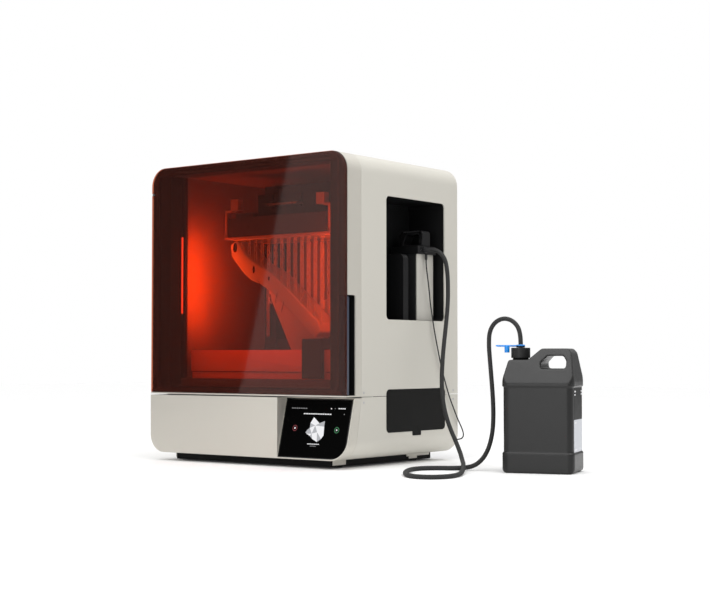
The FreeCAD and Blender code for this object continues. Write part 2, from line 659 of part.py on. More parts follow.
def rear_sockets():
    """The power inlet, its rocker switch and the pump cable's socket and plug."""
    back = d.rear_plate_front + d.rear_plate
    foot, high = d.inlet_foot, d.inlet_foot + d.inlet_height
    left, right = d.inlet_left, d.inlet_left + d.inlet_width
    inlet = Piece("power_inlet")
    inlet.pad("XZ", back - 26, back, box_outline(left + 0.2, foot + 0.2, right - 0.2, high - 0.2))
    inlet.cut("XZ", back - 20, back + 1,
              box_outline(left + 3, foot + 4, right - 3, high - 4, (1, 1, 4, 4)))
    inlet.node()
    rocker = Piece("power_rocker")
    middle = foot + d.inlet_height / 2
    half = d.rocker_height / 2 - 0.8
    rocker.pad("YZ", d.rocker_left, d.rocker_left + d.rocker_width,
               Corners([(back - 8, middle - half), (back + 1, middle - half),
                        (back - 0.5, middle), (back + 1.6, middle + half),
                        (back - 8, middle + half)]))
    rocker.node()
    socket = carved("cable_socket", rod("socket_shell", "Y", (d.socket_x, back - 14, d.socket_z),
                                        d.socket_radius, 16),
                    [rod("socket_bore", "Y", (d.socket_x, back - 8, d.socket_z), 3.6, 12)])
    name_node(socket, "cable_socket")
    tail = 509 - d.housing_depth
    plug = fused("cable_plug", [
        rod("plug_body", "Y", (d.socket_x, back + 2, d.socket_z), 5.5, tail + d.rear_plate - 3),
        rod("plug_pin", "Y", (d.socket_x, back - 6, d.socket_z), 3.6, 10)])
    name_node(plug, "cable_plug")


def base():
    """The black base tray, its four pads and the shell-coloured side brackets."""
    low = d.foot_pad - d.base_height
    rounds = [6, 6, 6, 6]
    tray = Piece("base_tray")
    tray.pad("XY", low, 0, box_outline(d.tray_left, d.tray_front, d.tray_right, d.tray_back, rounds))
    tray.cut("XY", low + 3, 1,
             box_outline(d.tray_left + 3, d.tray_front + 3, d.tray_right - 3, d.tray_back - 3,
                         [3, 3, 3, 3]))
    tray.node()
    places = [(x, y) for x in (d.foot_x, d.housing_width - d.foot_x)
              for y in (d.foot_y, d.housing_depth - d.foot_y)]
    grouped("rubber_feet", [rod("foot", "Z", (x, y, -d.base_height), d.foot_radius, d.foot_pad)
                            for x, y in places])

    def bracket_pair(side, across):
        near, far = span(across(d.tray_left - d.bracket), across(d.tray_left))
        front = block(f"{side}_front_bracket", (near, 33, -d.bracket_drop), (far, 84, 0))
        back = fused(f"{side}_back_bracket", [
            block(f"{side}_back_strip", (near, 345, -8), (far, 448, 0)),
            block(f"{side}_back_tab", (near, 356, -d.bracket_drop), (far, 392, 0))])
        return grouped_pair(f"{side}_brackets", [front, back])
    grouped("foot_brackets", both_sides(bracket_pair))


def grouped_pair(name, parts):
    """Separate solids inside a larger group."""
    group = doc.addObject("Part::Compound", name)
    group.Links = parts
    return group


def housing_screws():
    """Eight screws that hold the shells, four in each side wall."""
    def side_screws(side, across):
        screws = []
        for y in (d.screw_front, d.screw_back):
            for z in (d.screw_high, d.screw_low):
                near, far = span(across(0), across(d.screw_head))
                head = rod(f"{side}_head", "X", (near, y, z), d.screw_head_radius, far - near)
                near, far = span(across(d.screw_head), across(d.screw_length))
                shank = rod(f"{side}_shank", "X", (near, y, z), d.screw_shank_radius, far - near)
                screws.append(fused(f"{side}_screw", [head, shank]))
        return grouped_pair(f"{side}_screws", screws)
    grouped("housing_screws", both_sides(side_screws))


def side_cover():
    """The removable cover with its pull tab, and the air filter behind it."""
    outer = d.housing_width + d.side_cover_proud
    piece = Piece("side_cover")
    piece.pad("YZ", d.housing_width - d.skin, outer, side_opening(0))
    piece.pad("YZ", d.housing_width - d.skin, outer,
              box_outline(d.tab_front, d.tab_foot, d.tab_back, d.side_cover_foot + 1, (3, 3, 0, 0)))
    piece.node()
    deep = d.housing_width - d.skin - 6
    block_piece = Piece("filter_block")
    block_piece.pad("YZ", deep - d.filter_depth, deep,
                    box_outline(d.bay_front + 12, d.filter_foot, d.bay_back - 12, d.filter_top,
                                [6, 6, 6, 6]))
    block_piece.node()


# ---- cartridge bay and pump unit --------------------------------------------------------
def cartridge_bay():
    """The dark bay with the wall that parts its two slots."""
    wall = d.bay_wall
    inner = d.housing_width - d.skin - 0.3
    piece = Piece("cartridge_bay")
    piece.pad("YZ", d.bay_left, inner,
              box_outline(d.bay_front - wall, d.bay_foot - wall, d.bay_back + wall,
                          d.bay_top + wall, [d.bay_round + wall] * 4))
    piece.cut("YZ", d.bay_left + wall, inner + 1,
              box_outline(d.bay_front, d.bay_foot, d.bay_back, d.bay_top, [d.bay_round] * 4))
    piece.pad("XZ", d.divider_front, d.divider_back,
              box_outline(d.bay_left + 1, d.bay_foot - 1, d.divider_right, d.divider_top,
                          (0, 0, 14, 0)))
    piece.node()


def pump_unit():
    """The pump in the rear slot: case, light side plate, overhanging cover and handle."""
    case = Piece("pump_body")
    case.pad("XY", d.bay_foot + 0.3, d.pump_top,
             box_outline(d.pump_left, d.pump_front, d.pump_right, d.pump_back, [4, 0, 0, 4]))
    case.node()
    plate = Piece("pump_side_plate")
    plate.pad("YZ", d.pump_right, d.pump_right + d.pump_plate,
              box_outline(d.pump_front, d.bay_foot + 1, d.pump_back, d.pump_top, [3, 3, 3, 3]))
    plate.node()
    over = d.cover_overhang
    cover = Piece("pump_top_cover")
    cover.pad("XY", d.pump_top, d.cover_top,
              box_outline(d.cover_left, d.pump_front - over, d.cover_right, d.pump_back + over,
                          [6, 6, 6, 6]))
    cover.node()
    handle = Piece("pump_handle")
    bar = d.handle_bar
    handle.pad("XZ", d.handle_front, d.handle_back,
               box_outline(d.handle_left, d.cover_top, d.handle_right, d.handle_top,
                           (0, 0, 9, 16)))
    handle.cut("XZ", d.handle_front - 1, d.handle_back + 1,
               Corners([(d.handle_left + bar, d.cover_top + 4), (d.handle_right - bar, d.cover_top + 4),
                        (d.handle_right - bar, d.handle_top - bar + 2),
                        (d.handle_left + 2 * bar, d.handle_top - bar + 2)], [3, 3, 5, 5]))
    handle.node()
    base_x = d.cover_right
    hose = [rod("fitting_flange", "X", (base_x, d.fitting_y, d.fitting_z), d.fitting_radius, 5),
            rod("fitting_barb", "X", (base_x, d.fitting_y, d.fitting_z), d.hose_diameter / 2,
                d.fitting_length),
            rod("cable_gland", "Z", (base_x - 4.5, d.gland_y, d.pump_top - d.gland_length), 3.4,
                d.gland_length)]
    grouped("hose_fittings", [fused("hose_fitting", hose[:2]), hose[2]])


# ---- chamber ----------------------------------------------------------------------------
def chamber():
    """The dark liner walls, the ceiling and the deck that the tank stands on."""
    wall = d.liner
    left, right, back = d.chamber_left, d.opening_right, d.chamber_back
    low, high, front = d.deck_top, d.chamber_top, d.frame_back + 0.5
    step = d.bay_front - 11
    walls = [
        block("left_wall", (left, front, low), (left + wall, back + wall, high)),
        block("back_wall", (left, back, low), (right + wall, back + wall, high)),
        block("front_right_wall", (right, front, low), (right + wall, step + wall, high)),
        block("low_right_wall", (right, step, low), (right + wall, back + wall, d.shelf_foot + wall)),
        block("bay_front_wall", (d.bay_side, step, d.shelf_foot), (right + wall, step + wall, high)),
        block("bay_side_wall", (d.bay_side, step, d.shelf_foot),
              (d.bay_side + wall, back + wall, high)),
        block("bay_shelf", (d.bay_side, step, d.shelf_foot),
              (right + wall, back + wall, d.shelf_foot + wall)),
        block("ceiling", (left, front, high), (right + wall, back + wall, high + wall)),
    ]
    name_node(fused("chamber_liner", walls), "chamber_liner")
    deck = Piece("deck_plate")
    deck.pad("XY", d.deck_foot, d.deck_top, box_outline(4, front + 0.5, 659, 484))
    deck.cut("XY", d.deck_foot + 1, d.deck_top + 1,
             box_outline(d.engine_left, d.engine_front, d.engine_right, d.engine_back))
    deck.cut("XY", d.deck_foot - 1, d.deck_top + 1,
             box_outline(d.engine_left + 6, d.engine_front + 6, d.engine_right - 6,
                         d.engine_back - 6),
             Round(d.screw_x, d.screw_y, 12))
    deck.pad("XZ", front + 0.5, front + 3.5,
             box_outline(d.opening_left, d.opening_foot, d.opening_right, d.deck_foot + 1))
    deck.node()
    depth = d.pillar_back + 0.3
    left_bar = d.opening_left + d.pillar_width + 2 - d.led_width
    right_bar = d.opening_right - d.pillar_right_width - 2
    grouped("led_bars", [
        block("left_led_bar", (left_bar, depth, d.led_foot),
              (left_bar + d.led_width, depth + d.led_depth, d.led_top)),
        block("right_led_bar", (right_bar, depth, d.led_foot),
              (right_bar + d.led_width, depth + d.led_depth, d.led_top))])


# ---- tank and mixer ---------------------------------------------------------------------
def resin_tank():
    """The open tank with a window in its floor and the film that closes it."""
    step, wall = d.tank_step, d.tank_wall
    tank = Piece("resin_tank")
    tank.pad("XY", d.tank_foot, d.tank_flange,
             box_outline(d.tank_left + step, d.tank_front + step, d.tank_right - step,
                         d.tank_back - step, [4, 4, 4, 4]))
    tank.pad("XY", d.tank_flange, d.tank_top,
             box_outline(d.tank_left, d.tank_front, d.tank_right, d.tank_back, [6, 6, 6, 6]))
    tank.cut("XY", d.tank_floor, d.tank_top + 1,
             box_outline(d.tank_left + wall, d.tank_front + wall, d.tank_right - wall,
                         d.tank_back - wall, [8, 8, 8, 8]))
    tank.cut("XY", d.tank_foot - 1, d.tank_floor + 1,
             box_outline(d.film_left, d.film_front, d.film_right, d.film_back, [4, 4, 4, 4]))
    rim = 5
    tank.cut("XY", d.tank_foot - 1, d.tank_foot + 1,
             box_outline(d.film_left - rim, d.film_front - rim, d.film_right + rim,
                         d.film_back + rim, [4, 4, 4, 4]))
    tank.node()
    film = Piece("tank_film")
    film.pad("XY", d.tank_foot + 1 - d.film, d.tank_foot + 1,
             box_outline(d.film_left - rim, d.film_front - rim, d.film_right + rim,
                         d.film_back + rim, [4, 4, 4, 4]))
    film.node()


def mixer():
    """The arm that hooks over the tank's front wall, and its wiper blade."""
    gap = 3
    inner = d.tank_front + d.tank_wall + gap
    outer = d.tank_front - gap
    middle = (d.mixer_left + d.mixer_right) / 2
    parts = [
        block("mixer_column", (d.mixer_left, d.mixer_front, d.tank_foot + 2),
              (d.mixer_right, outer, d.mixer_top)),
        block("mixer_bridge", (d.mixer_left, d.mixer_front, d.tank_top + gap),
              (d.mixer_right, inner + 15, d.mixer_top)),
        block("mixer_leg", (d.mixer_left + 5, inner, d.blade_foot),
              (d.mixer_right - 5, inner + 15, d.mixer_top)),
        block("mixer_blade", (middle - d.blade_width / 2, inner, d.blade_foot),
              (middle + d.blade_width / 2, d.blade_back, d.blade_top)),
    ]
    name_node(fused("mixer", parts), "mixer")


# ---- Z axis -----------------------------------------------------------------------------
def z_axis():
    """Two columns with crossbars, their rails, the lead screw and its motor."""
    screw = (d.screw_x, d.screw_y)
    bore = d.leadscrew_radius + d.running_gap
    back = d.column_front + d.column_depth
    portal = [block("z_column", (left, d.column_front, d.deck_top),
                    (left + d.column_width, back, d.column_top))
              for left in (d.column_left, d.column_right)]
    for foot, high in ((d.low_bar_foot, d.low_bar_top), (d.high_bar_foot, d.column_top)):
        portal.append(block("z_crossbar", (d.column_left, d.crossbar_front, foot),
                            (d.column_right + d.column_width, d.crossbar_back, high)))
    tool = rod("screw_bores", "Z", (*screw, 0), bore, 800)
    name_node(carved("z_portal", fused("portal_frame", portal), [tool]), "z_portal")
    rails = []
    for left in (d.column_left, d.column_right):
        middle = left + d.column_width / 2
        rails.append(block("z_rail", (middle - d.rail_width / 2, d.column_front - d.rail_height,
                                      d.rail_foot),
                           (middle + d.rail_width / 2, d.column_front, d.rail_top)))
    grouped("z_rails", rails)
    leadscrew = Piece("z_leadscrew")
    leadscrew.pad("XY", d.deck_foot - 0.5, d.screw_top, Round(*screw, d.leadscrew_radius))
    leadscrew.node()
    half = d.motor_size / 2
    motor = Piece("z_motor")
    motor.pad("XY", d.motor_foot, d.deck_foot - 1.2,
              box_outline(screw[0] - half, screw[1] - half, screw[0] + half, screw[1] + half,
                          [5, 5, 5, 5]))
    motor.node()


def z_carriage():
    """The moving plate with its runners and nut, and the head that holds the platform."""
    parts = [
        block("carriage_plate", (d.plate_left, d.plate_front, d.plate_foot),
              (d.plate_right, d.plate_back, d.plate_top)),
        block("carriage_nut", (d.screw_x - d.nut_width / 2, d.plate_front, d.nut_foot),
              (d.screw_x + d.nut_width / 2, d.nut_back, d.nut_top)),
        block("carriage_head", (d.head_left, d.head_front, d.head_foot),
              (d.head_right, d.plate_back, d.head_top)),
        block("carriage_foot", (d.head_left + 20, d.head_front + 20, d.platform_top),
              (d.head_right - 20, d.plate_front, d.head_foot + 1)),
    ]
    tools = [rod("nut_bore", "Z", (d.screw_x, d.screw_y, 0), d.leadscrew_radius + d.running_gap,
                 800)]
    for left in (d.column_left, d.column_right):
        middle = left + d.column_width / 2
        half = d.runner_width / 2
        parts.append(block("runner", (middle - half, d.plate_front, d.plate_foot),
                           (middle + half, d.runner_back, d.plate_top)))
        groove = d.rail_width / 2 + 0.3
        tools.append(block("runner_groove",
                           (middle - groove, d.column_front - d.rail_height - 0.3, 500),
                           (middle + groove, d.column_front, 760)))
    for x in (d.lever_left, d.lever_right):
        tools.append(block("lever_slot", (x - 3.6, d.head_front - 1, d.lever_z - 8),
                           (x + 3.6, d.head_front + 18, d.head_top + 1)))
        tools.append(rod("lever_bore", "X", (x - 12, d.head_front + 8, d.lever_z), 2.55, 24))
    parts_fused = fused("carriage_blank", parts)
    name_node(carved("z_carriage", parts_fused, tools), "z_carriage")


def lock_lever():
    """The bail that locks the platform to the carriage head."""
    bar = d.lever_bar
    y = d.head_front + 8
    parts = [rod("lever_grip", "X", (d.lever_left - bar, d.lever_front, d.lever_z), bar,
                 d.lever_right - d.lever_left + 2 * bar)]
    for x in (d.lever_left, d.lever_right):
        parts.append(block("lever_arm", (x - bar, d.lever_front, d.lever_z - bar),
                           (x + bar, y + 2 * bar, d.lever_z + bar)))
        parts.append(rod("lever_pin", "X", (x - 11, y, d.lever_z), 2.5, 22))
    name_node(fused("lock_lever", parts), "lock_lever")


# ---- build platform and printed part ----------------------------------------------------
def build_platform():
    """The platform block with its dimples, hinge lugs and pins, and the flexible sheet."""
    body = Piece("platform_block")
    body.pad("XZ", d.platform_front, d.platform_back,
             box_outline(d.platform_left, d.platform_foot, d.platform_right, d.platform_top,
                         (0, 0, 2, 2)))
    middle = (d.platform_foot + d.platform_top) / 2
    body.cut("XZ", d.platform_front - 1, d.platform_front + 1.5,
             *[Round(d.platform_left + d.platform_right * part, middle, 2.4)
               for part in (0.15, 0.35, 0.55)])
    body.pad("XY", d.platform_top - 1, d.platform_top + 15,
             box_outline(d.platform_left + 4, d.platform_front + 27, d.platform_left + 66,
                         d.platform_front + 71, [3, 3, 3, 3]))
    back = d.strip_front + d.strip_depth + 1

    def lug(side, place):
        near, far = span(place(0.5), place(d.platform_left - d.sheet_left + 1))
        pin = place(d.strip / 2)
        plate = block(f"{side}_lug", (near, back, d.strip_foot), (far, back + d.lug_depth,
                                                                 d.pivot_z + 4))
        return fused(f"{side}_lug_and_pin", [
            plate, rod(f"{side}_pin", "Y", (pin, d.strip_front, d.pivot_z), d.pivot_radius,
                       back + 3 - d.strip_front)])
    lugs = [lug("left", lambda x: d.sheet_left + x), lug("right", lambda x: d.sheet_right - x)]
    name_node(fused("platform_body", [body.body, *lugs]), "platform_body")
    sheet = Piece("build_sheet")
    sheet.pad("XZ", d.platform_front, d.platform_back,
              box_outline(d.sheet_left, d.platform_foot - d.sheet, d.sheet_right, d.platform_foot))
    sheet.node()


def release_handle(side, place):
    """One end handle: an upright strip on its pivot, an arm and a grip block."""
    front, back = d.strip_front, d.strip_front + d.strip_depth
    near, far = span(place(0), place(d.strip))
    reach = span(place(0), place(d.arm_length + 2))
    grip = span(place(d.arm_length), place(d.arm_length + d.grip_width))
    parts = [
        block(f"{side}_strip", (near, front, d.strip_foot), (far, back, d.strip_top)),
        block(f"{side}_arm", (reach[0], front, d.strip_top - 5), (reach[1], back, d.strip_top)),
        block(f"{side}_grip", (grip[0], front, d.strip_top - 1),
              (grip[1], back + 2, d.strip_top + d.grip_height)),
    ]
    bore = rod(f"{side}_bore", "Y", (place(d.strip / 2), front - 1, d.pivot_z),
               d.pivot_radius + d.running_gap, d.strip_depth + 2)
    name = f"release_handle_{side}"
    name_node(carved(name, fused(f"{name}_blank", parts), [bore]), name)


def printed_part():
    """The workpiece: raft, supports, curved duct, beam and fan-shaped web, cured as one."""
    front, depth = d.print_front, d.print_depth
    foot = d.platform_foot - d.sheet
    piece = Piece("print_body")
    duct = [(160, 558), (182, 568.5), (210, 538), (262, 500), (306, 480), (472, 343), (478, 318),
            (456, 304), (300, 430), (262, 450), (214, 474), (166, 524)]
    piece.pad("XZ", front, front + depth, Corners(duct))
    web = [(268, 452), (282, 400), (352, 266), (398, 252), (456, 305), (456, 312), (300, 436)]
    piece.pad("XZ", front + depth / 2 - 4, front + depth / 2 + 4, Corners(web))
    parts = [piece.body, block("print_raft", (176, front - 8, foot - d.raft),
                               (496, front + depth + 60, foot))]
    tops = [(196, 544), (240, 512), (284, 488), (328, 458), (372, 422), (416, 386), (460, 350)]
    for x, top in tops:
        for y in (front + 6, front + depth - 6 - d.post):
            parts.append(block("support_post", (x, y, top - 12), (x + d.post, y + d.post, foot - 1)))
    name_node(fused("printed_part", parts), "printed_part")


# ---- electronics and fan ----------------------------------------------------------------
def electronics():
    """The LCD, the light engine, the power supply and the control board."""
    lcd = Piece("lcd_panel")
    lcd.pad("XY", d.deck_foot + 1, d.deck_foot + 1 + d.lcd,
            box_outline(d.engine_left + 0.5, d.engine_front + 0.5, d.engine_right - 0.5,
                        d.engine_back - 0.5))
    lcd.node()
    engine = Piece("light_engine")
    engine.pad("XY", d.engine_foot, d.engine_top,
               box_outline(d.engine_left, d.engine_front, d.engine_right, d.engine_back,
                           [6, 6, 6, 6]))
    engine.cut("XY", d.engine_foot + 20, d.engine_top + 1,
               box_outline(d.engine_left + 10, d.engine_front + 10, d.engine_right - 10,
                           d.engine_back - 10))
    engine.node()
    supply = Piece("power_supply")
    supply.pad("XY", d.supply_foot, d.supply_top,
               box_outline(d.supply_left, d.supply_front, d.supply_right, d.supply_back))
    supply.node()
    board = Piece("control_board")
    board.pad("XY", d.board_foot, d.board_foot + d.board,
              box_outline(d.supply_left, d.engine_front, d.supply_right, d.engine_back))
    board.node()


def exhaust_fan():
    """The fan behind the rear grille: a square frame with a spoked hub, and its rotor."""
    back = d.rear_plate_front - 0.2
    front = back - d.fan_depth
    half = d.fan_size / 2
    frame = Piece("fan_frame")
    frame.pad("XZ", front, back,
              box_outline(d.fan_x - half, d.fan_z - half, d.fan_x + half, d.fan_z + half,
                          [5, 5, 5, 5]))
    frame.cut("XZ", front - 1, back + 1, Round(d.fan_x, d.fan_z, d.fan_radius + 1))
    frame.pad("XZ", front, front + 3, Round(d.fan_x, d.fan_z, 13))
    frame.pad("XZ", front, front + 3,
              box_outline(d.fan_x - half + 1, d.fan_z - 2, d.fan_x + half - 1, d.fan_z + 2))
    frame.pad("XZ", front, front + 3,
              box_outline(d.fan_x - 2, d.fan_z - half + 1, d.fan_x + 2, d.fan_z + half - 1))
    frame.pad("XZ", front + 1, front + 14, Round(d.fan_x, d.fan_z, 2))
    frame.node()
    blades = []
    for index in range(7):
        blade = block("fan_blade", (10, -1, 0), (d.fan_radius, 1, 12))
        arm = doc.addObject("Part::Compound", "fan_arm")
        arm.Links = [blade]
        tilt = FreeCAD.Rotation(FreeCAD.Vector(1, 0, 0), 28)
        lay = FreeCAD.Rotation(FreeCAD.Vector(1, 0, 0), 90)
        turn = FreeCAD.Rotation(FreeCAD.Vector(0, 1, 0), index * 360 / 7)
        arm.Placement = FreeCAD.Placement(FreeCAD.Vector(0, 0, 0), turn * lay * tilt)
        blades.append(arm)
    wheel = fused("fan_wheel", [*blades, rod("fan_hub", "Y", (0, -14, 0), 12, 13)])
    spot = doc.addObject("Part::Compound", "fan_spot")
    spot.Links = [wheel]
    put(spot, d.fan_x, back - 5, d.fan_z)
    bore = rod("hub_bore", "Y", (d.fan_x, front - 2, d.fan_z), 2 + d.running_gap, 20)
    name_node(carved("fan_rotor", spot, [bore]), "fan_rotor")


# ---- supply jug -------------------------------------------------------------------------
def place_jug(feature, name):
    """Name a piece of the jug and put it where the jug stands."""
    feature.Label = name
    feature.Placement.Rotation = FreeCAD.Rotation(FreeCAD.Vector(0, 0, 1), SIZES["jug_turn"])
    put(feature, d.jug_x, d.jug_y, 0)
    nodes.append(feature)


def jug_profile():
    """The jug's side outline: straight sides, sloping shoulders and the high handle bow."""
    half, top = d.jug_length / 2, d.jug_handle_top
    return Corners([(-half, 0), (half, 0), (half, d.jug_shoulder + 6), (half - 10, top - 10),
                    (half - 18, top), (4, top), (-27, d.neck_foot), (13 - half, d.neck_foot),
                    (-half, d.jug_shoulder + 2)],
                   [12, 12, 10, 6, 8, 10, 8, 6, 8])


def jug():
    """The blow-moulded jug with its through handle, cap, dip tube fitting and tether."""
    half = d.jug_width / 2
    body = Piece("jug_blank")
    body.pad("XZ", -half, half, jug_profile())
    shoulder = d.jug_shoulder
    for side in (-1, 1):
        body.cut("YZ", -d.jug_length, d.jug_length,
                 Corners([(side * half, shoulder), (side * (half + 20), shoulder),
                          (side * (half + 20), d.jug_handle_top + 20),
                          (side * 24, d.jug_handle_top + 20)]))
    body.pad("XY", d.neck_foot - 6, d.neck_top, Round(d.neck_x, 0, d.neck_radius))
    body.cut("XZ", -half - 10, half + 10,
             Corners([(5, 248), (66, 248), (66, 266), (58, 278), (20, 278), (5, 263)],
                     [5, 7, 5, 5, 5, 5]))
    hollow = Piece("jug_hollow")
    wall = d.jug_wall
    hollow.pad("XY", wall, shoulder - 4,
               box_outline(-d.jug_length / 2 + wall, -half + wall, d.jug_length / 2 - wall,
                           half - wall, [12, 12, 12, 12]))
    hollow.pad("XY", shoulder - 6, d.neck_foot - 6, box_outline(-72, -32, -22, 32, [8, 8, 8, 8]))
    hollow.pad("XY", shoulder - 6, d.neck_top + 5, Round(d.neck_x, 0, d.neck_radius - 3))
    upright = Piece("jug_corners")
    upright.pad("XY", -1, d.jug_handle_top + 10,
                box_outline(-d.jug_length / 2, -half, d.jug_length / 2, half,
                            [d.jug_round] * 4))
    rounded = doc.addObject("Part::Common", "jug_rounded")
    rounded.Base = body.body
    rounded.Tool = upright.body
    place_jug(carved("jug_body", rounded, [hollow.body]), "jug_body")
    cap = Piece("jug_cap")
    cap.pad("XY", d.cap_foot, d.cap_top, Round(d.neck_x, 0, d.cap_radius))
    cap.cut("XY", d.cap_foot - 1, d.neck_top + 0.5, Round(d.neck_x, 0, d.neck_radius + 0.5))
    cap.cut("XY", d.cap_foot - 1, d.cap_top + 1, Round(d.neck_x, 0, 7.5))
    place_jug(cap.body, "jug_cap")
    fitting = Piece("jug_fitting")
    fitting.pad("XY", 12, d.cap_top + 8, Round(d.neck_x, 0, d.hose_diameter / 2))
    fitting.pad("XY", d.cap_top + 0.4, d.cap_top + 4, Round(d.neck_x, 0, 10.5))
    place_jug(fitting.body, "jug_fitting")
    tether = Piece("cap_tether")
    ring = d.cap_top + 4
    tether.pad("XY", ring, ring + 3, Round(d.neck_x, 0, 12))
    tether.pad("XY", ring, ring + 3, box_outline(d.neck_x - 62, -4, d.neck_x - 8, 4, [2, 2, 2, 2]))
    tether.cut("XY", ring - 1, ring + 4, Round(d.neck_x, 0, d.hose_diameter / 2 + 0.4))
    tether.pad("XY", ring - 18, ring + 1, Round(d.neck_x - 34, 0, 6.5))
    place_jug(tether.body, "cap_tether")


# ---- hose and cable ---------------------------------------------------------------------
def tube_path(points):
    """Straight runs joined by tangent arcs, each as large as its two runs allow."""
    places = [FreeCAD.Vector(*point) for point in points]
    edges, radii = [], []
    start = places[0]
    for before, corner, after in zip(places, places[1:], places[2:]):
        back = (before - corner)
        ahead = (after - corner)
        reach = 0.45 * min(back.Length, ahead.Length)
        back.normalize()
        ahead.normalize()
        turn = math.pi - back.getAngle(ahead)
        radii.append(reach / math.tan(turn / 2))
        first, last = corner + back * reach, corner + ahead * reach
        bisector = back + ahead
        bisector.normalize()
        middle = corner + bisector * (radii[-1] / math.cos(turn / 2) - radii[-1])
        edges.append(Part.LineSegment(start, first).toShape())
        edges.append(Part.Arc(first, middle, last).toShape())
        start = last
    edges.append(Part.LineSegment(start, places[-1]).toShape())
    return Part.Wire(edges), radii


def cord(name, points, diameter):
    """A round tube along a route, with a check of its volume."""
    path, radii = tube_path(points)
    direction = FreeCAD.Vector(*points[1]) - FreeCAD.Vector(*points[0])
    circle = Part.Circle(FreeCAD.Vector(*points[0]), direction, diameter / 2)
    section = Part.Wire([circle.toShape()])
    tube = path.makePipeShell([section], True, True)
    area = math.pi * diameter ** 2 / 4
    print(f"{name}: length {path.Length:.0f}, volume ratio {tube.Volume / area / path.Length:.4f},"
          f" smallest radii {[round(radius) for radius in sorted(radii)[:5]]}")
    feature = doc.addObject("Part::Feature", name)
    feature.Label = name
    feature.Shape = tube
    feature.Placement = FreeCAD.Placement()
    nodes.append(feature)


# ---- build, check and export ------------------------------------------------------------
def build():
    """Make every sub-part."""
    for make in (upper_shell, lower_shell, lower_front_panel, display, front_frame,
                 door_surround, door_seal, door_panel, door_grip, door_hinges, rear_panels,
                 rear_sockets, base, housing_screws, side_cover, cartridge_bay, pump_unit,
                 chamber, resin_tank, mixer, z_axis, z_carriage, lock_lever, build_platform,
                 printed_part, electronics, exhaust_fan, jug):
        make()
    release_handle("left", lambda x: d.sheet_left + x)
    release_handle("right", lambda x: d.sheet_right - x)
    cord("pump_hose", HOSE_ROUTE, SIZES["hose_diameter"])
    cord("pump_cable", CABLE_ROUTE, SIZES["cable_diameter"])
    doc.recompute()


def check():
    """Stop if any feature failed or any sub-part is empty or not valid."""
    for item in doc.Objects:
        if {"Invalid", "Error"} & set(item.State):
            raise RuntimeError(f"{item.Name} ({item.Label}) failed: {item.State}")
    for node in nodes:
        shape = node.Shape
        if shape.isNull() or not shape.isValid() or not shape.Solids:
            raise RuntimeError(f"{node.Label} has no valid solid")
        print(f"{node.Label}: {len(shape.Solids)} solid(s), {shape.Volume / 1000:.1f} cm3")


def export():
    """Write one STEP file for each sub-part."""
    os.makedirs("parts", exist_ok=True)
    for node in nodes:
        node.Shape.exportStep(os.path.join("parts", f"{node.Label}.step"))
    print(f"{len(nodes)} sub-parts")


build()
check()
export()
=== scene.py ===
"""A large resin printer with a side bay, a pump, a hose and its supply jug."""

import json
import logging
import math
from dataclasses import dataclass, field
from enum import Enum
from typing import Any, Iterable, Optional, Sequence, Union

import bmesh
import bpy
from mathutils import Matrix, Vector

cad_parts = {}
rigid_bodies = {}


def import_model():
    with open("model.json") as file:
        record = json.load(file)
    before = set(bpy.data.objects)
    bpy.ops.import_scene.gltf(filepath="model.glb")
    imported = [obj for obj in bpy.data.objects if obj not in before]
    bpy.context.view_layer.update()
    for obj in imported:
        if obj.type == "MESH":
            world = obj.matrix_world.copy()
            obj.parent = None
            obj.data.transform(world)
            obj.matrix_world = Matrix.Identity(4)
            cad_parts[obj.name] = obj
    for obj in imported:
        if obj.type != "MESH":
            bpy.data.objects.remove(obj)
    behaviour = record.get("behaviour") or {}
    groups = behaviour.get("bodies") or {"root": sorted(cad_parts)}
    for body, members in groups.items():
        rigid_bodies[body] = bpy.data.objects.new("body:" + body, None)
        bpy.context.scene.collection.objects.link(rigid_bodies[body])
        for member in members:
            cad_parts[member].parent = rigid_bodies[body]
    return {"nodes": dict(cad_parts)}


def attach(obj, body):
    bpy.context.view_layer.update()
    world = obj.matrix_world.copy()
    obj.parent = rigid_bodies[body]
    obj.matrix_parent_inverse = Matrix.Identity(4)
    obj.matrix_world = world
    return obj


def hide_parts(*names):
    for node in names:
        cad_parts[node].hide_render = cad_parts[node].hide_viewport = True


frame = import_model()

LOG = logging.getLogger("resin_printer")
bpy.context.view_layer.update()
Colour = tuple[float, float, float]
Point = tuple[float, float, float]
Spot = tuple[float, float]
WHITE = (1, 1, 1, 1)


# ---- places -----------------------------------------------------------------------------
@dataclass(frozen=True)
class Housing:
    """The housing's own frame, in millimetres, and the step from it to the row's metres."""

    width: float = 664.0
    depth: float = 492.0
    lift: float = 22.0
    screen_slope: float = 0.252
    screen_foot: float = 1.3
    screen_depth: float = 0.1

    def at(self, x: float, y: float, z: float) -> Vector:
        """Turn a place in the housing's frame into the row's frame.

        Args:
            x: Distance from the left wall, in millimetres.
            y: Distance behind the door's front face.
            z: Height over the housing's underside.

        Returns:
            The same place in metres in the row's frame.
        """
        return Vector((x - self.width / 2, y - self.depth / 2, z + self.lift)) / 1000

    def on_screen(self, x: float, z: float, out: float) -> Vector:
        """Find a place on the slanted screen.

        Args:
            x: Distance from the left wall, in millimetres.
            z: Height over the housing's underside.
            out: How far in front of the glass the place is.

        Returns:
            The place in metres in the row's frame.
        """
        y = self.screen_slope * (z - self.screen_foot) + self.screen_depth - out
        return self.at(x, y, z)


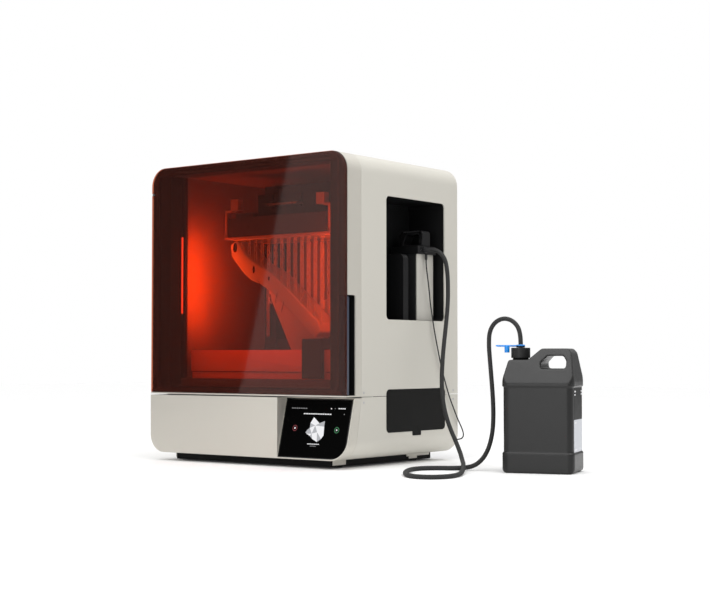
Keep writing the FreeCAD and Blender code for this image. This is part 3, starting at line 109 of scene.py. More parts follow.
@dataclass(frozen=True)
class Jug:
    """The supply jug's own frame, in millimetres, and the step from it to the row's metres."""

    x: float = 725.0
    y: float = 22.0
    turn: float = 17.4
    length: float = 175.0
    neck_x: float = -54.0

    def matrix(self) -> Matrix:
        """Give the turn and the shift from the jug's frame in metres to the row's frame."""
        shift = Matrix.Translation((self.x / 1000, self.y / 1000, 0))
        return shift @ Matrix.Rotation(math.radians(self.turn), 4, "Z")

    def at(self, x: float, y: float, z: float) -> Vector:
        """Turn a place in the jug's frame into the row's frame.

        Args:
            x: Distance along the jug from its middle, in millimetres.
            y: Distance across the jug from its middle.
            z: Height over the floor.

        Returns:
            The place in metres in the row's frame.
        """
        return self.matrix() @ mm(x, y, z)


def mm(x: float, y: float, z: float) -> Vector:
    """Turn millimetres into a vector in metres."""
    return Vector((x, y, z)) / 1000


BOX = Housing()
JUG = Jug()


# ---- shaders ----------------------------------------------------------------------------
class Link:
    """A node's output that Python's operators turn into Math nodes."""

    def __init__(self, graph: "Graph", socket: bpy.types.NodeSocket) -> None:
        """Keep the output and the graph that it belongs to."""
        self.graph = graph
        self.socket = socket

    def _math(self, operation: str, first: Any, second: Any) -> "Link":
        """Add one Math node."""
        node = self.graph.node("ShaderNodeMath", {"operation": operation},
                               {0: first, 1: second})
        return Link(self.graph, node.outputs[0])

    def __add__(self, other: Any) -> "Link":
        """Add a number or another link."""
        return self._math("ADD", self, other)

    def __radd__(self, other: Any) -> "Link":
        """Add this link to a number."""
        return self._math("ADD", other, self)

    def __mul__(self, other: Any) -> "Link":
        """Multiply by a number or another link."""
        return self._math("MULTIPLY", self, other)

    def __rmul__(self, other: Any) -> "Link":
        """Multiply a number by this link."""
        return self._math("MULTIPLY", other, self)

    def __gt__(self, other: Any) -> "Link":
        """Give 1 where this link is larger and 0 elsewhere."""
        return self._math("GREATER_THAN", self, other)

    def wave(self) -> "Link":
        """Give the sine of this link."""
        return self._math("SINE", self, 0.0)


class Graph:
    """The node tree of one material or of the sky."""

    relief: float = 0.001

    def __init__(self, name: str, world: Optional[bpy.types.World] = None) -> None:
        """Start an empty tree.

        Args:
            name: The new material's name.
            world: The world whose tree it is, where it isn't a new material's.
        """
        self.owner = world or bpy.data.materials.new(name)
        self.output = "ShaderNodeOutputWorld" if world else "ShaderNodeOutputMaterial"
        self.owner.use_nodes = True
        self.tree = self.owner.node_tree
        self.tree.nodes.clear()

    def node(self, kind: str, settings: Optional[dict[str, Any]] = None,
             inputs: Optional[dict[Union[int, str], Any]] = None) -> bpy.types.Node:
        """Add a node.

        Args:
            kind: The node's type.
            settings: The node's own properties, set before its sockets.
            inputs: Values, links or output sockets for its inputs.

        Returns:
            The new node.
        """
        made = self.tree.nodes.new(kind)
        for word, value in (settings or {}).items():
            setattr(made, word, value)
        for place, value in (inputs or {}).items():
            socket = value.socket if isinstance(value, Link) else value
            if isinstance(socket, bpy.types.NodeSocket):
                self.tree.links.new(socket, made.inputs[place])
            else:
                made.inputs[place].default_value = socket
        return made

    def noise(self, scale: float, detail: float = 3.0, stretch: Point = (1, 1, 1)) -> Link:
        """Add noise on Object coordinates.

        Args:
            scale: Cells per metre.
            detail: How many finer layers it has.
            stretch: The pattern's scale along each axis.

        Returns:
            The noise's factor.
        """
        made = self.node("ShaderNodeTexNoise", {},
                         {"Vector": self.place(stretch), "Scale": scale, "Detail": detail})
        return Link(self, made.outputs[0])

    def cells(self, scale: float) -> Link:
        """Add a cell pattern on Object coordinates and give the distance to a cell's middle."""
        made = self.node("ShaderNodeTexVoronoi", {},
                         {"Vector": self.place(), "Scale": scale, "Randomness": 0.0})
        return Link(self, made.outputs[0])

    def place(self, stretch: Point = (1, 1, 1)) -> bpy.types.NodeSocket:
        """Give Object coordinates.

        Args:
            stretch: How much they are stretched along each axis.

        Returns:
            The coordinates' socket.
        """
        where = self.node("ShaderNodeTexCoord").outputs["Object"]
        if stretch == (1, 1, 1):
            return where
        return self.node("ShaderNodeMapping", {},
                         {"Vector": where, "Scale": stretch}).outputs[0]

    def axis(self, which: int) -> Link:
        """Give one Object coordinate.

        Args:
            which: 0 for X, 1 for Y and 2 for Z.

        Returns:
            The coordinate in metres.
        """
        split = self.node("ShaderNodeSeparateXYZ", {}, {0: self.place()})
        return Link(self, split.outputs[which])

    def blend(self, factor: Any, first: Colour, second: Colour) -> bpy.types.NodeSocket:
        """Mix two colours.

        Args:
            factor: 0 for the first colour and 1 for the second.
            first: The first colour.
            second: The second colour.

        Returns:
            The mixed colour's socket.
        """
        made = self.node("ShaderNodeMix", {"data_type": "RGBA", "clamp_factor": True},
                         {0: factor, 6: (*first, 1), 7: (*second, 1)})
        return made.outputs[2]

    def bump(self, height: Link, depth: float) -> bpy.types.NodeSocket:
        """Turn a height into a normal.

        Args:
            height: The height's link.
            depth: The strength from 0 to 1.

        Returns:
            The normal's socket.
        """
        made = self.node("ShaderNodeBump", {},
                         {"Strength": depth, "Distance": self.relief, "Height": height})
        return made.outputs[0]

    def close(self, shader: bpy.types.NodeSocket) -> bpy.types.ID:
        """Join a shader to the output and give the material or the world."""
        self.node(self.output, {}, {"Surface": shader})
        return self.owner


class Grain(Enum):
    """How a surface is broken up when it is seen from near."""

    SMOOTH = "smooth"
    PAINTED = "painted"
    MOULDED = "moulded"
    BRUSHED = "brushed"
    PERFORATED = "perforated"
    PLEATED = "pleated"
    LAYERED = "layered"


# A speckled grain has a scale per metre and a detail, and a waved one an axis and a rate per metre.
SPECKS = {Grain.PAINTED: (2600.0, 2.0), Grain.MOULDED: (1500.0, 3.0), Grain.SMOOTH: (120.0, 2.0)}
WAVES = {Grain.PLEATED: (1, 900.0), Grain.LAYERED: (2, 5200.0)}
BRUSHED_STRETCH: Point = (1.0, 1.0, 0.02)
HOLES_PER_METRE = 520.0
HOLE_EDGE = 0.42


def shade(colour: Colour, factor: float) -> Colour:
    """Make a colour darker or lighter."""
    return tuple(min(1.0, channel * factor) for channel in colour)


@dataclass(frozen=True)
class Finish:
    """One surface finish of the printer."""

    name: str
    colour: Colour
    roughness: float
    metallic: float = 0.0
    grain: Grain = Grain.SMOOTH
    variation: float = 0.08
    depth: float = 0.15
    coat: float = 0.0
    alpha: float = 1.0
    shine: float = 0.5
    glow: float = 0.0
    sheen_of: Optional[Colour] = None

    def material(self) -> bpy.types.Material:
        """Build the finish once and give its material."""
        return bpy.data.materials.get(self.name) or self._build()

    def _build(self) -> bpy.types.Material:
        """Build the node tree for this finish."""
        graph = Graph(self.name)
        cloud = graph.noise(9.0, 4.0)
        fine, relief = self._pattern(graph)
        colour = graph.blend(cloud * 0.6 + fine * 0.4, shade(self.colour, 1 - self.variation),
                             shade(self.colour, 1 + self.variation))
        rough = graph.noise(60.0, 2.0) * (0.25 * self.roughness) + self.roughness * 0.88
        inputs: dict[Union[int, str], Any] = {
            "Base Color": colour, "Roughness": rough, "Metallic": self.metallic,
            "Coat Weight": self.coat, "Coat Roughness": 0.08, "Alpha": self.alpha,
            "Specular IOR Level": self.shine,
            "Normal": graph.bump(relief, self.depth)}
        if self.glow:
            inputs["Emission Color"] = (*(self.sheen_of or self.colour), 1)
            inputs["Emission Strength"] = self.glow
        surface = graph.node("ShaderNodeBsdfPrincipled", {}, inputs)
        return graph.close(surface.outputs[0])

    def _pattern(self, graph: Graph) -> tuple[Link, Link]:
        """Give the fine colour pattern and the relief for the finish's grain.

        Args:
            graph: The material's node tree.

        Returns:
            The colour pattern and the relief.
        """
        if self.grain in WAVES:
            which, rate = WAVES[self.grain]
            folds = (graph.axis(which) * rate).wave()
            return folds * 0.5 + 0.5, folds
        if self.grain is Grain.PERFORATED:
            speck = graph.cells(HOLES_PER_METRE) > HOLE_EDGE
        elif self.grain is Grain.BRUSHED:
            speck = graph.noise(400.0, 3.0, BRUSHED_STRETCH)
        else:
            speck = graph.noise(*SPECKS[self.grain])
        return speck, speck


@dataclass(frozen=True)
class Tint:
    """The door's clear sheet: light passes through it in one colour, and its face shines."""

    name: str = "door_tint"
    passes: Colour = (0.90, 0.50, 0.36)
    body: Colour = (0.075, 0.032, 0.026)
    share: float = 0.19
    slope: float = 0.25

    def material(self) -> bpy.types.Material:
        """Build the sheet's material."""
        graph = Graph(self.name)
        through = graph.node("ShaderNodeBsdfTransparent", {}, {"Color": (*self.passes, 1)})
        soft = graph.noise(4.0, 1.0)
        face = graph.node("ShaderNodeBsdfPrincipled", {}, {
            "Base Color": graph.blend(soft, shade(self.body, 0.9), shade(self.body, 1.1)),
            "Roughness": soft * 0.01 + 0.02, "Coat Weight": 1.0, "Coat Roughness": 0.02})
        facing = graph.node("ShaderNodeLayerWeight", {}, {"Blend": 0.3}).outputs["Facing"]
        factor = Link(graph, facing) * self.slope + self.share
        mixed = graph.node("ShaderNodeMixShader", {},
                           {0: factor, 1: through.outputs[0], 2: face.outputs[0]})
        return graph.close(mixed.outputs[0])


SHELL = Finish("shell_paint", (0.53, 0.505, 0.445), 0.30, 0.65, Grain.PAINTED, 0.02, 0.05)
FRONT = Finish("front_moulding", (0.60, 0.575, 0.515), 0.34, 0.4, Grain.PAINTED, 0.02, 0.05)
BLACK = Finish("black_moulding", (0.006, 0.006, 0.0065), 0.45, 0.0, Grain.MOULDED, 0.15, 0.2,
               shine=0.2)
DARK = Finish("dark_moulding", (0.020, 0.020, 0.021), 0.42, 0.0, Grain.MOULDED, 0.12, 0.15,
              shine=0.3)
GRIP = Finish("grip_moulding", (0.035, 0.045, 0.075), 0.38, 0.0, Grain.SMOOTH, 0.1, 0.1)
MESH = Finish("side_mesh", (0.009, 0.009, 0.0085), 0.50, 0.0, Grain.PERFORATED, 0.35, 0.3,
              shine=0.08)
GLASS = Finish("screen_glass", (0.002, 0.002, 0.002), 0.1, 0.0, Grain.SMOOTH, 0.1, 0.0,
               shine=0.03)
STEEL = Finish("machined_steel", (0.50, 0.50, 0.51), 0.28, 1.0, Grain.BRUSHED, 0.1, 0.1)
RAIL = Finish("ground_rail", (0.42, 0.42, 0.43), 0.2, 1.0, Grain.BRUSHED, 0.06, 0.06)
COATED = Finish("black_coating", (0.006, 0.006, 0.006), 0.5, 0.0, Grain.PAINTED, 0.1, 0.15,
                shine=0.08)
LINER = Finish("chamber_liner", (0.13, 0.09, 0.075), 0.55, 0.0, Grain.MOULDED, 0.1, 0.1)
SHEET = Finish("galvanised_sheet", (0.46, 0.47, 0.48), 0.35, 0.9, Grain.BRUSHED, 0.12, 0.08)
ANODISED = Finish("anodised_block", (0.07, 0.05, 0.045), 0.42, 0.5, Grain.BRUSHED, 0.08, 0.06)
SPRING = Finish("spring_sheet", (0.82, 0.60, 0.46), 0.35, 0.7, Grain.BRUSHED, 0.06, 0.05)
TANK = Finish("tank_moulding", (0.88, 0.34, 0.14), 0.30, 0.0, Grain.SMOOTH, 0.05, 0.03, 0.4)
FILM = Finish("tank_film", (0.8, 0.45, 0.2), 0.1, 0.0, Grain.SMOOTH, 0.05, 0.0, 0.5, 0.6)
CURED = Finish("cured_resin", (0.33, 0.19, 0.17), 0.42, 0.0, Grain.LAYERED, 0.07, 0.12, 0.1)
# Near-black for real trim (the door's printed edge, seams, the light bar's cover) and for painted
# shade in the duct's mouths and creases.
DARK_TRIM_AND_SHADE = Finish("shadow_line", (0.012, 0.009, 0.008), 0.6, 0.0, Grain.SMOOTH, 0.1, 0.1)
BOARD = Finish("circuit_board", (0.012, 0.11, 0.035), 0.4, 0.0, Grain.SMOOTH, 0.2, 0.1, 0.3)
PANEL = Finish("lcd_face", (0.01, 0.011, 0.014), 0.15, 0.0, Grain.SMOOTH, 0.1, 0.0, 0.6)
RUBBER = Finish("soft_rubber", (0.013, 0.013, 0.013), 0.7, 0.0, Grain.MOULDED, 0.1, 0.2)
HOSE = Finish("hose_rubber", (0.004, 0.004, 0.004), 0.26, 0.0, Grain.SMOOTH, 0.12, 0.06, 0.05,
              shine=0.6)
FILTER = Finish("filter_media", (0.06, 0.06, 0.06), 0.9, 0.0, Grain.PLEATED, 0.3, 0.5)
PLATE = Finish("pump_plate", (0.44, 0.42, 0.39), 0.32, 0.5, Grain.BRUSHED, 0.05, 0.05)
JUG_BODY = Finish("jug_moulding", (0.006, 0.006, 0.006), 0.34, 0.0, Grain.MOULDED, 0.1, 0.12,
                  shine=0.42)
CAP = Finish("cap_moulding", (0.006, 0.006, 0.006), 0.45, 0.0, Grain.MOULDED, 0.1, 0.15,
             shine=0.35)
BLUE = Finish("blue_moulding", (0.0, 0.26, 0.80), 0.35, 0.0, Grain.SMOOTH, 0.08, 0.08, 0.2)
LABEL_DARK = Finish("label_black", (0.004, 0.004, 0.004), 0.35, 0.0, Grain.SMOOTH, 0.05, 0.02,
                    shine=0.04)
LABEL_PALE = Finish("label_grey", (0.56, 0.58, 0.62), 0.4, 0.0, Grain.SMOOTH, 0.03, 0.02)
LABEL_MARK = Finish("label_mark", (0.72, 0.72, 0.74), 0.4, 0.0, Grain.SMOOTH, 0.03, 0.02)
UI_WHITE = Finish("screen_white", (0.02, 0.02, 0.02), 0.5, glow=0.95,
                  sheen_of=(0.86, 0.86, 0.88))
UI_SHADE = Finish("screen_shade", (0.02, 0.02, 0.02), 0.5, glow=0.50,
                  sheen_of=(0.80, 0.81, 0.86))
UI_DIM = Finish("screen_dim", (0.01, 0.01, 0.01), 0.5, glow=0.25, sheen_of=(0.80, 0.80, 0.82))
UI_RED = Finish("screen_red", (0.02, 0.0, 0.0), 0.5, glow=0.6, sheen_of=(0.22, 0.02, 0.03))
UI_GREEN = Finish("screen_green", (0.0, 0.02, 0.0), 0.5, glow=0.6, sheen_of=(0.04, 0.24, 0.10))
UI_PANEL = Finish("screen_panel", (0.0015, 0.0015, 0.0015), 0.2, shine=0.01, glow=0.0005,
                  sheen_of=(0.5, 0.5, 0.5))
LED = Finish("light_bar", (0.5, 0.08, 0.04), 0.4, glow=1.9, sheen_of=(1.0, 0.14, 0.07))
PAD = Finish("gasket_rubber", (0.02, 0.02, 0.02), 0.6, 0.0, Grain.MOULDED, 0.1, 0.15)


SMALLEST_EASED_CORNER = 40.0


# ---- meshes -----------------------------------------------------------------------------
def placed(name: str, data: bpy.types.ID) -> bpy.types.Object:
    """Make an object and put it in the scene.

    Args:
        name: The object's name.
        data: Its mesh, curve, light or camera.

    Returns:
        The new object.
    """
    made = bpy.data.objects.new(name, data)
    bpy.context.scene.collection.objects.link(made)
    return made


class Solid:
    """A mesh under construction, in metres in the row's frame."""

    sharp_edge: float = 0.5
    same_place: float = 1e-6
    frame_same_place: float = 2e-6

    def __init__(self, name: str, node: Optional[str] = None) -> None:
        """Start an empty mesh, or a merged copy of a frame node's mesh.

        Args:
            name: The piece's name.
            node: The frame node to start from.
        """
        self.name = name
        self.bm = bmesh.new()
        if node:
            self.bm.from_mesh(frame["nodes"][node].data)
            bmesh.ops.remove_doubles(self.bm, verts=self.bm.verts, dist=self.frame_same_place)

    def box(self, low: Vector, high: Vector, bevel: float = 0.0, segments: int = 2,
            turn: Optional[Matrix] = None) -> "Solid":
        """Add a box between two corners.

        Args:
            low: The lowest corner.
            high: The highest corner.
            bevel: The width of its eased edges, in metres.
            segments: The steps of each eased edge.
            turn: A turn or a shift that the box gets last.

        Returns:
            This mesh.
        """
        made = bmesh.ops.create_cube(self.bm, size=1.0)["verts"]
        size = high - low
        bmesh.ops.scale(self.bm, vec=size, verts=made)
        bmesh.ops.translate(self.bm, vec=(low + high) / 2, verts=made)
        return self._ease(made, bevel, segments, turn)

    def _ease(self, verts: list[bmesh.types.BMVert], bevel: float, segments: int,
              turn: Optional[Matrix] = None) -> "Solid":
        """Round the edges of the newest island, then turn it.

        Args:
            verts: The island's vertices.
            bevel: The width of its eased edges, in metres.
            segments: The steps of each eased edge.
            turn: A turn or a shift that the island gets last.

        Returns:
            This mesh.
        """
        before = set(self.bm.verts) - set(verts)
        if bevel > 0:
            edges = list({edge for vert in verts for edge in vert.link_edges
                          if len(edge.link_faces) < 2 or edge.calc_face_angle(0) > self.sharp_edge})
            bmesh.ops.bevel(self.bm, geom=edges, offset=bevel, segments=segments,
                            profile=0.5, affect="EDGES", material=-1)
        fresh = [vert for vert in self.bm.verts if vert not in before]
        if turn is not None:
            bmesh.ops.transform(self.bm, matrix=turn, verts=fresh)
        return self

    def rod(self, start: Vector, end: Vector, radius: float, sides: int = 32,
            bevel: float = 0.0) -> "Solid":
        """Add a cylinder between two points.

        Args:
            start: The middle of the first end.
            end: The middle of the last end.
            radius: Its radius.
            sides: How many sides it has.
            bevel: The width of its eased end edges.

        Returns:
            This mesh.
        """
        way = end - start
        made = bmesh.ops.create_cone(
            self.bm, cap_ends=True, segments=sides, radius1=radius, radius2=radius,
            depth=way.length)["verts"]
        tilt = way.to_track_quat("Z", "Y").to_matrix().to_4x4()
        return self._ease(made, bevel, 2, Matrix.Translation((start + end) / 2) @ tilt)

    def prism(self, outline: Sequence[Vector], depth: Vector, bevel: float = 0.0,
              segments: int = 2) -> "Solid":
        """Add a closed outline that is pulled along a way.

        Args:
            outline: The corners of the outline.
            depth: How far and which way it is pulled.
            bevel: The width of its eased edges.
            segments: The steps of each eased edge.

        Returns:
            This mesh.
        """
        corners = [self.bm.verts.new(corner) for corner in outline]
        face = self.bm.faces.new(corners)
        pulled = bmesh.ops.extrude_face_region(self.bm, geom=[face])["geom"]
        moved = [item for item in pulled if isinstance(item, bmesh.types.BMVert)]
        bmesh.ops.translate(self.bm, vec=depth, verts=moved)
        return self._ease(corners + moved, bevel, segments)

    def patch(self, outline: Sequence[Vector], facing: Optional[Vector] = None) -> "Solid":
        """Add one flat face.

        Args:
            outline: Its corners.
            facing: The side that it faces, or None to keep the corners' own order.

        Returns:
            This mesh.
        """
        face = self.bm.faces.new([self.bm.verts.new(corner) for corner in outline])
        face.normal_update()
        if facing is not None and face.normal.dot(facing) < 0:
            face.normal_flip()
        return self

    def ring(self, centre: Vector, axis: Vector, radius: float, thick: float,
             sides: int) -> "Solid":
        """Add a round ring.

        Args:
            centre: The ring's middle.
            axis: The way that it faces.
            radius: From its middle to the middle of its wire.
            thick: The radius of its wire.
            sides: How many steps it has round.

        Returns:
            This mesh.
        """
        turn = axis.to_track_quat("Z", "Y").to_matrix().to_4x4()
        wire = bmesh.ops.create_circle(self.bm, cap_ends=False, segments=8, radius=thick)
        verts = wire["verts"]
        bmesh.ops.rotate(self.bm, cent=(0, 0, 0), matrix=Matrix.Rotation(math.pi / 2, 3, "X"),
                         verts=verts)
        bmesh.ops.translate(self.bm, vec=(radius, 0, 0), verts=verts)
        edges = list({edge for vert in verts for edge in vert.link_edges})
        known = set(self.bm.verts) - set(verts)
        bmesh.ops.spin(self.bm, geom=verts + edges, cent=(0, 0, 0), axis=(0, 0, 1),
                       angle=2 * math.pi, steps=sides, use_merge=True)
        fresh = [vert for vert in self.bm.verts if vert not in known]
        bmesh.ops.transform(self.bm, matrix=Matrix.Translation(centre) @ turn, verts=fresh)
        return self

    def loose(self) -> bpy.types.Object:
        """Make the object without a finish or a body."""
        mesh = bpy.data.meshes.new(self.name)
        self.bm.to_mesh(mesh)
        self.bm.free()
        return placed(self.name, mesh)

    def done(self, finish: Union[Finish, Tint], body: str, stands_for: Iterable[str] = (),
             smooth: float = 35.0, closed: bool = True) -> bpy.types.Object:
        """Make the object, dress it and hang it on its body.

        Args:
            finish: Its surface finish.
            body: The body that it rides on.
            stands_for: The frame's nodes that it stands for.
            smooth: The largest angle in degrees that is shaded smooth.
            closed: Whether the normals are worked out again.

        Returns:
            The finished piece.
        """
        bmesh.ops.remove_doubles(self.bm, verts=self.bm.verts, dist=self.same_place)
        if closed:
            bmesh.ops.recalc_face_normals(self.bm, faces=self.bm.faces)
        return dress(self.loose(), finish, body, stands_for, smooth)


def dress(piece: bpy.types.Object, finish: Union[Finish, Tint], body: str,
          stands_for: Iterable[str] = (), smooth: float = 35.0) -> bpy.types.Object:
    """Give a piece its finish, its shading and its body.

    Args:
        piece: The object.
        finish: Its surface finish.
        body: The body that it rides on.
        stands_for: The frame's nodes that it stands for.
        smooth: The largest angle in degrees that is shaded smooth.

    Returns:
        The same object.
    """
    piece.data.materials.clear()
    piece.data.materials.append(finish.material())
    if piece.type == "MESH":
        piece.data.shade_smooth()
        piece.data.set_sharp_from_angle(angle=math.radians(smooth))
    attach(piece, body)
    nodes = list(stands_for)
    if nodes:
        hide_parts(*nodes)
    LOG.info("%s rides on %s", piece.name, body)
    return piece


def eased(node: str, name: str, width: float, finish: Finish, body: str,
          segments: int = 2) -> bpy.types.Object:
    """Stand a copy with eased edges in for a frame node.

    Args:
        node: The frame node.
        name: The new piece's name.
        width: The width of the eased edges, in metres.
        finish: Its surface finish.
        body: The body that it rides on.
        segments: The steps of each eased edge.

    Returns:
        The new piece.
    """
    piece = Solid(name, node).done(finish, body, [node], closed=False)
    ease = piece.modifiers.new("eased_edges", "BEVEL")
    ease.width = width
    ease.segments = segments
    ease.limit_method = "ANGLE"
    ease.angle_limit = math.radians(SMALLEST_EASED_CORNER)
    ease.harden_normals = True
    ease.use_clamp_overlap = True
    return piece


def paint(finish: Union[Finish, Tint], *nodes: str) -> None:
    """Give frame nodes a finish.

    Args:
        finish: The surface finish.
        *nodes: The nodes' names.
    """
    for node in nodes:
        piece = frame["nodes"][node]
        if not piece.material_slots:
            piece.data.materials.append(finish.material())
        for slot in piece.material_slots:
            slot.material = finish.material()
        LOG.info("%s gets %s", node, finish.name)


# ---- studio -----------------------------------------------------------------------------
@dataclass
class Studio:
    """The camera, the pale floor and the soft lights."""

    eye: Point = (2.5219, -3.0691, 0.2760)
    aim: Point = (92.21, 0.0, 37.43)
    lens: float = 74.65
    horizon: float = 0.2
    rise: float = 1.25
    floor_reach: float = 9.0
    card_y: float = -1.6
    lights: list[tuple[str, Point, Point, float, float, Colour]] = field(default_factory=lambda: [
        ("overhead_light", (0.4, -0.2, 2.2), (0.3, 0.0, 0.3), 2.2, 15.0, (1.0, 1.0, 1.0)),
        ("right_light", (2.6, -0.2, 2.0), (0.2, 0.0, 0.7), 1.2, 12.0, (1.0, 0.99, 0.97)),
        ("front_light", (1.2, -3.2, 0.7), (0.1, 0.0, 0.1), 1.2, 14.0, (1.0, 1.0, 1.0)),
    ])

    def camera(self) -> None:
        """Set the camera at the viewing angle."""
        data = bpy.data.cameras.new("view")
        data.lens = self.lens
        data.sensor_width = 36.0
        data.clip_end = 50.0
        eye = placed("view", data)
        eye.location = self.eye
        eye.rotation_euler = tuple(math.radians(turn) for turn in self.aim)
        bpy.context.scene.camera = eye

    def floor(self) -> None:
        """Lay the pale floor."""
        reach = self.floor_reach
        floor = Solid("floor").patch([
            Vector((x * reach, y * reach, 0.0))
            for x, y in ((-1, -1), (1, -1), (1, 1), (-1, 1))]).loose()
        graph = Graph("floor_paper")
        wash = graph.blend(graph.noise(1.5, 1.0), (0.95, 0.95, 0.95), (0.96, 0.96, 0.96))
        paper = graph.node("ShaderNodeBsdfPrincipled", {}, {
            "Base Color": wash, "Roughness": 0.75, "Specular IOR Level": 0.2,
            "Emission Color": WHITE, "Emission Strength": 0.03})
        floor.data.materials.append(graph.close(paper.outputs[0]))

    def sky(self) -> None:
        """Make the sky white for the camera and brighter overhead for the light."""
        world = bpy.context.scene.world or bpy.data.worlds.new("sky")
        bpy.context.scene.world = world
        graph = Graph("sky", world)
        way = graph.node("ShaderNodeTexCoord").outputs["Generated"]
        split = graph.node("ShaderNodeSeparateXYZ", {}, {0: way})
        climb = Link(graph, split.outputs["Z"]) * self.rise + self.horizon
        light = graph.node("ShaderNodeBackground", {}, {"Color": WHITE, "Strength": climb})
        paper = graph.node("ShaderNodeBackground", {}, {"Color": WHITE})
        seen = graph.node("ShaderNodeLightPath").outputs["Is Camera Ray"]
        mixed = graph.node("ShaderNodeMixShader", {},
                           {0: seen, 1: light.outputs[0], 2: paper.outputs[0]})
        graph.close(mixed.outputs[0])

    @staticmethod
    def card(name: str, corners: Sequence[Point], glow: float) -> None:
        """Hang a card that only glossy surfaces see.

        Args:
            name: The card's name.
            corners: Its corners in metres.
            glow: How bright it is.
        """
        card = Solid(name).patch([Vector(corner) for corner in corners]).loose()
        graph = Graph(f"{name}_face")
        face = graph.node("ShaderNodeEmission", {}, {"Color": WHITE, "Strength": glow})
        card.data.materials.append(graph.close(face.outputs[0]))
        for ray in ("camera", "diffuse", "shadow", "transmission", "volume_scatter"):
            setattr(card, f"visible_{ray}", False)

    def cards(self) -> None:
        """Hang the cards that the door and the jug's shoulder mirror."""
        y = self.card_y
        self.card("dark_card", ((-2.6, y, -0.4), (-1.38, y, -0.4), (-0.90, y, 1.35),
                                (-2.6, y, 1.35)), 0.02)
        self.card("bright_card", ((-1.37, y, -0.4), (-0.2, y, -0.4), (-0.2, y, 1.35),
                                  (-0.89, y, 1.35)), 1.05)
        self.card("shoulder_card", ((0.1, -1.35, 1.15), (1.3, -1.35, 1.15), (1.3, -0.6, 1.65),
                                    (0.1, -0.6, 1.65)), 4.0)

    def lamps(self) -> None:
        """Hang the soft lights."""
        for name, place, target, size, power, colour in self.lights:
            area_light(name, Vector(place), Vector(target), (size, size), power, colour)

    def build(self) -> None:
        """Make everything round the object."""
        self.camera()
        self.floor()
        self.sky()
        self.cards()
        self.lamps()
        bpy.context.scene.view_settings.view_transform = "Standard"


def area_light(name: str, place: Vector, target: Vector, size: tuple[float, float],
               power: float, colour: Colour) -> bpy.types.Object:
    """Hang a flat light that faces a point.

    Args:
        name: The light's name.
        place: Where it hangs.
        target: The point that it faces.
        size: Its width and height.
        power: Its power in watts.
        colour: Its colour.

    Returns:
        The light.
    """
    data = bpy.data.lights.new(name, "AREA")
    data.shape = "RECTANGLE"
    data.size, data.size_y = size
    data.energy = power
    data.color = colour
    lamp = placed(name, data)
    lamp.location = place
    lamp.rotation_euler = (target - place).to_track_quat("-Z", "Y").to_euler()
    return lamp


# ---- hose and cable ---------------------------------------------------------------------
HOSE_POINTS: list[Point] = [
    (0.334, 0.112, 0.556), (0.348, 0.112, 0.556), (0.3615, 0.1127, 0.5512),
    (0.3731, 0.114, 0.5411), (0.3805, 0.116, 0.5275), (0.383, 0.12, 0.507),
    (0.382, 0.126, 0.472), (0.382, 0.126, 0.42), (0.384, 0.114, 0.362), (0.386, 0.099, 0.302),
    (0.389, 0.086, 0.24), (0.397, 0.074, 0.184), (0.411, 0.066, 0.137), (0.432, 0.058, 0.096),
    (0.46, 0.044, 0.062), (0.488, 0.02, 0.038), (0.515, -0.012, 0.023), (0.54, -0.046, 0.018),
    (0.568, -0.087, 0.018), (0.6, -0.137, 0.011), (0.63, -0.191, 0.0056),
    (0.655, -0.248, 0.0056), (0.658, -0.3, 0.0056), (0.626, -0.336, 0.0056),
    (0.578, -0.326, 0.0056), (0.53, -0.278, 0.0056), (0.492, -0.218, 0.0056),
    (0.465, -0.156, 0.0056), (0.47, -0.114, 0.0056), (0.496, -0.088, 0.0056),
    (0.534, -0.068, 0.0056), (0.566, -0.045, 0.008), (0.582, -0.022, 0.026),
    (0.59, -0.005, 0.056), (0.595, 0.003, 0.094), (0.596, 0.005, 0.136), (0.594, 0.005, 0.182),
    (0.59, 0.005, 0.228), (0.586, 0.005, 0.27), (0.583, 0.005, 0.306), (0.585, 0.005, 0.338),
    (0.6, 0.0054, 0.361), (0.627, 0.0055, 0.3715), (0.656, 0.0056, 0.362),
    (0.6735, 0.00585, 0.3365), (0.6735, 0.00585, 0.306),
]
CABLE_POINTS: list[Point] = [
    (0.3135, 0.125, 0.532), (0.3135, 0.125, 0.516), (0.318, 0.125, 0.488),
    (0.325, 0.122, 0.452), (0.331, 0.119, 0.414), (0.3375, 0.119, 0.378),
    (0.3385, 0.128, 0.338), (0.3385, 0.142, 0.296), (0.3385, 0.158, 0.25),
    (0.3385, 0.177, 0.208), (0.3385, 0.196, 0.17), (0.3385, 0.218, 0.136),
    (0.3385, 0.238, 0.107), (0.3385, 0.256, 0.085), (0.335, 0.271, 0.067),
    (0.323, 0.282, 0.055), (0.308, 0.279, 0.052), (0.3, 0.263, 0.052),
]


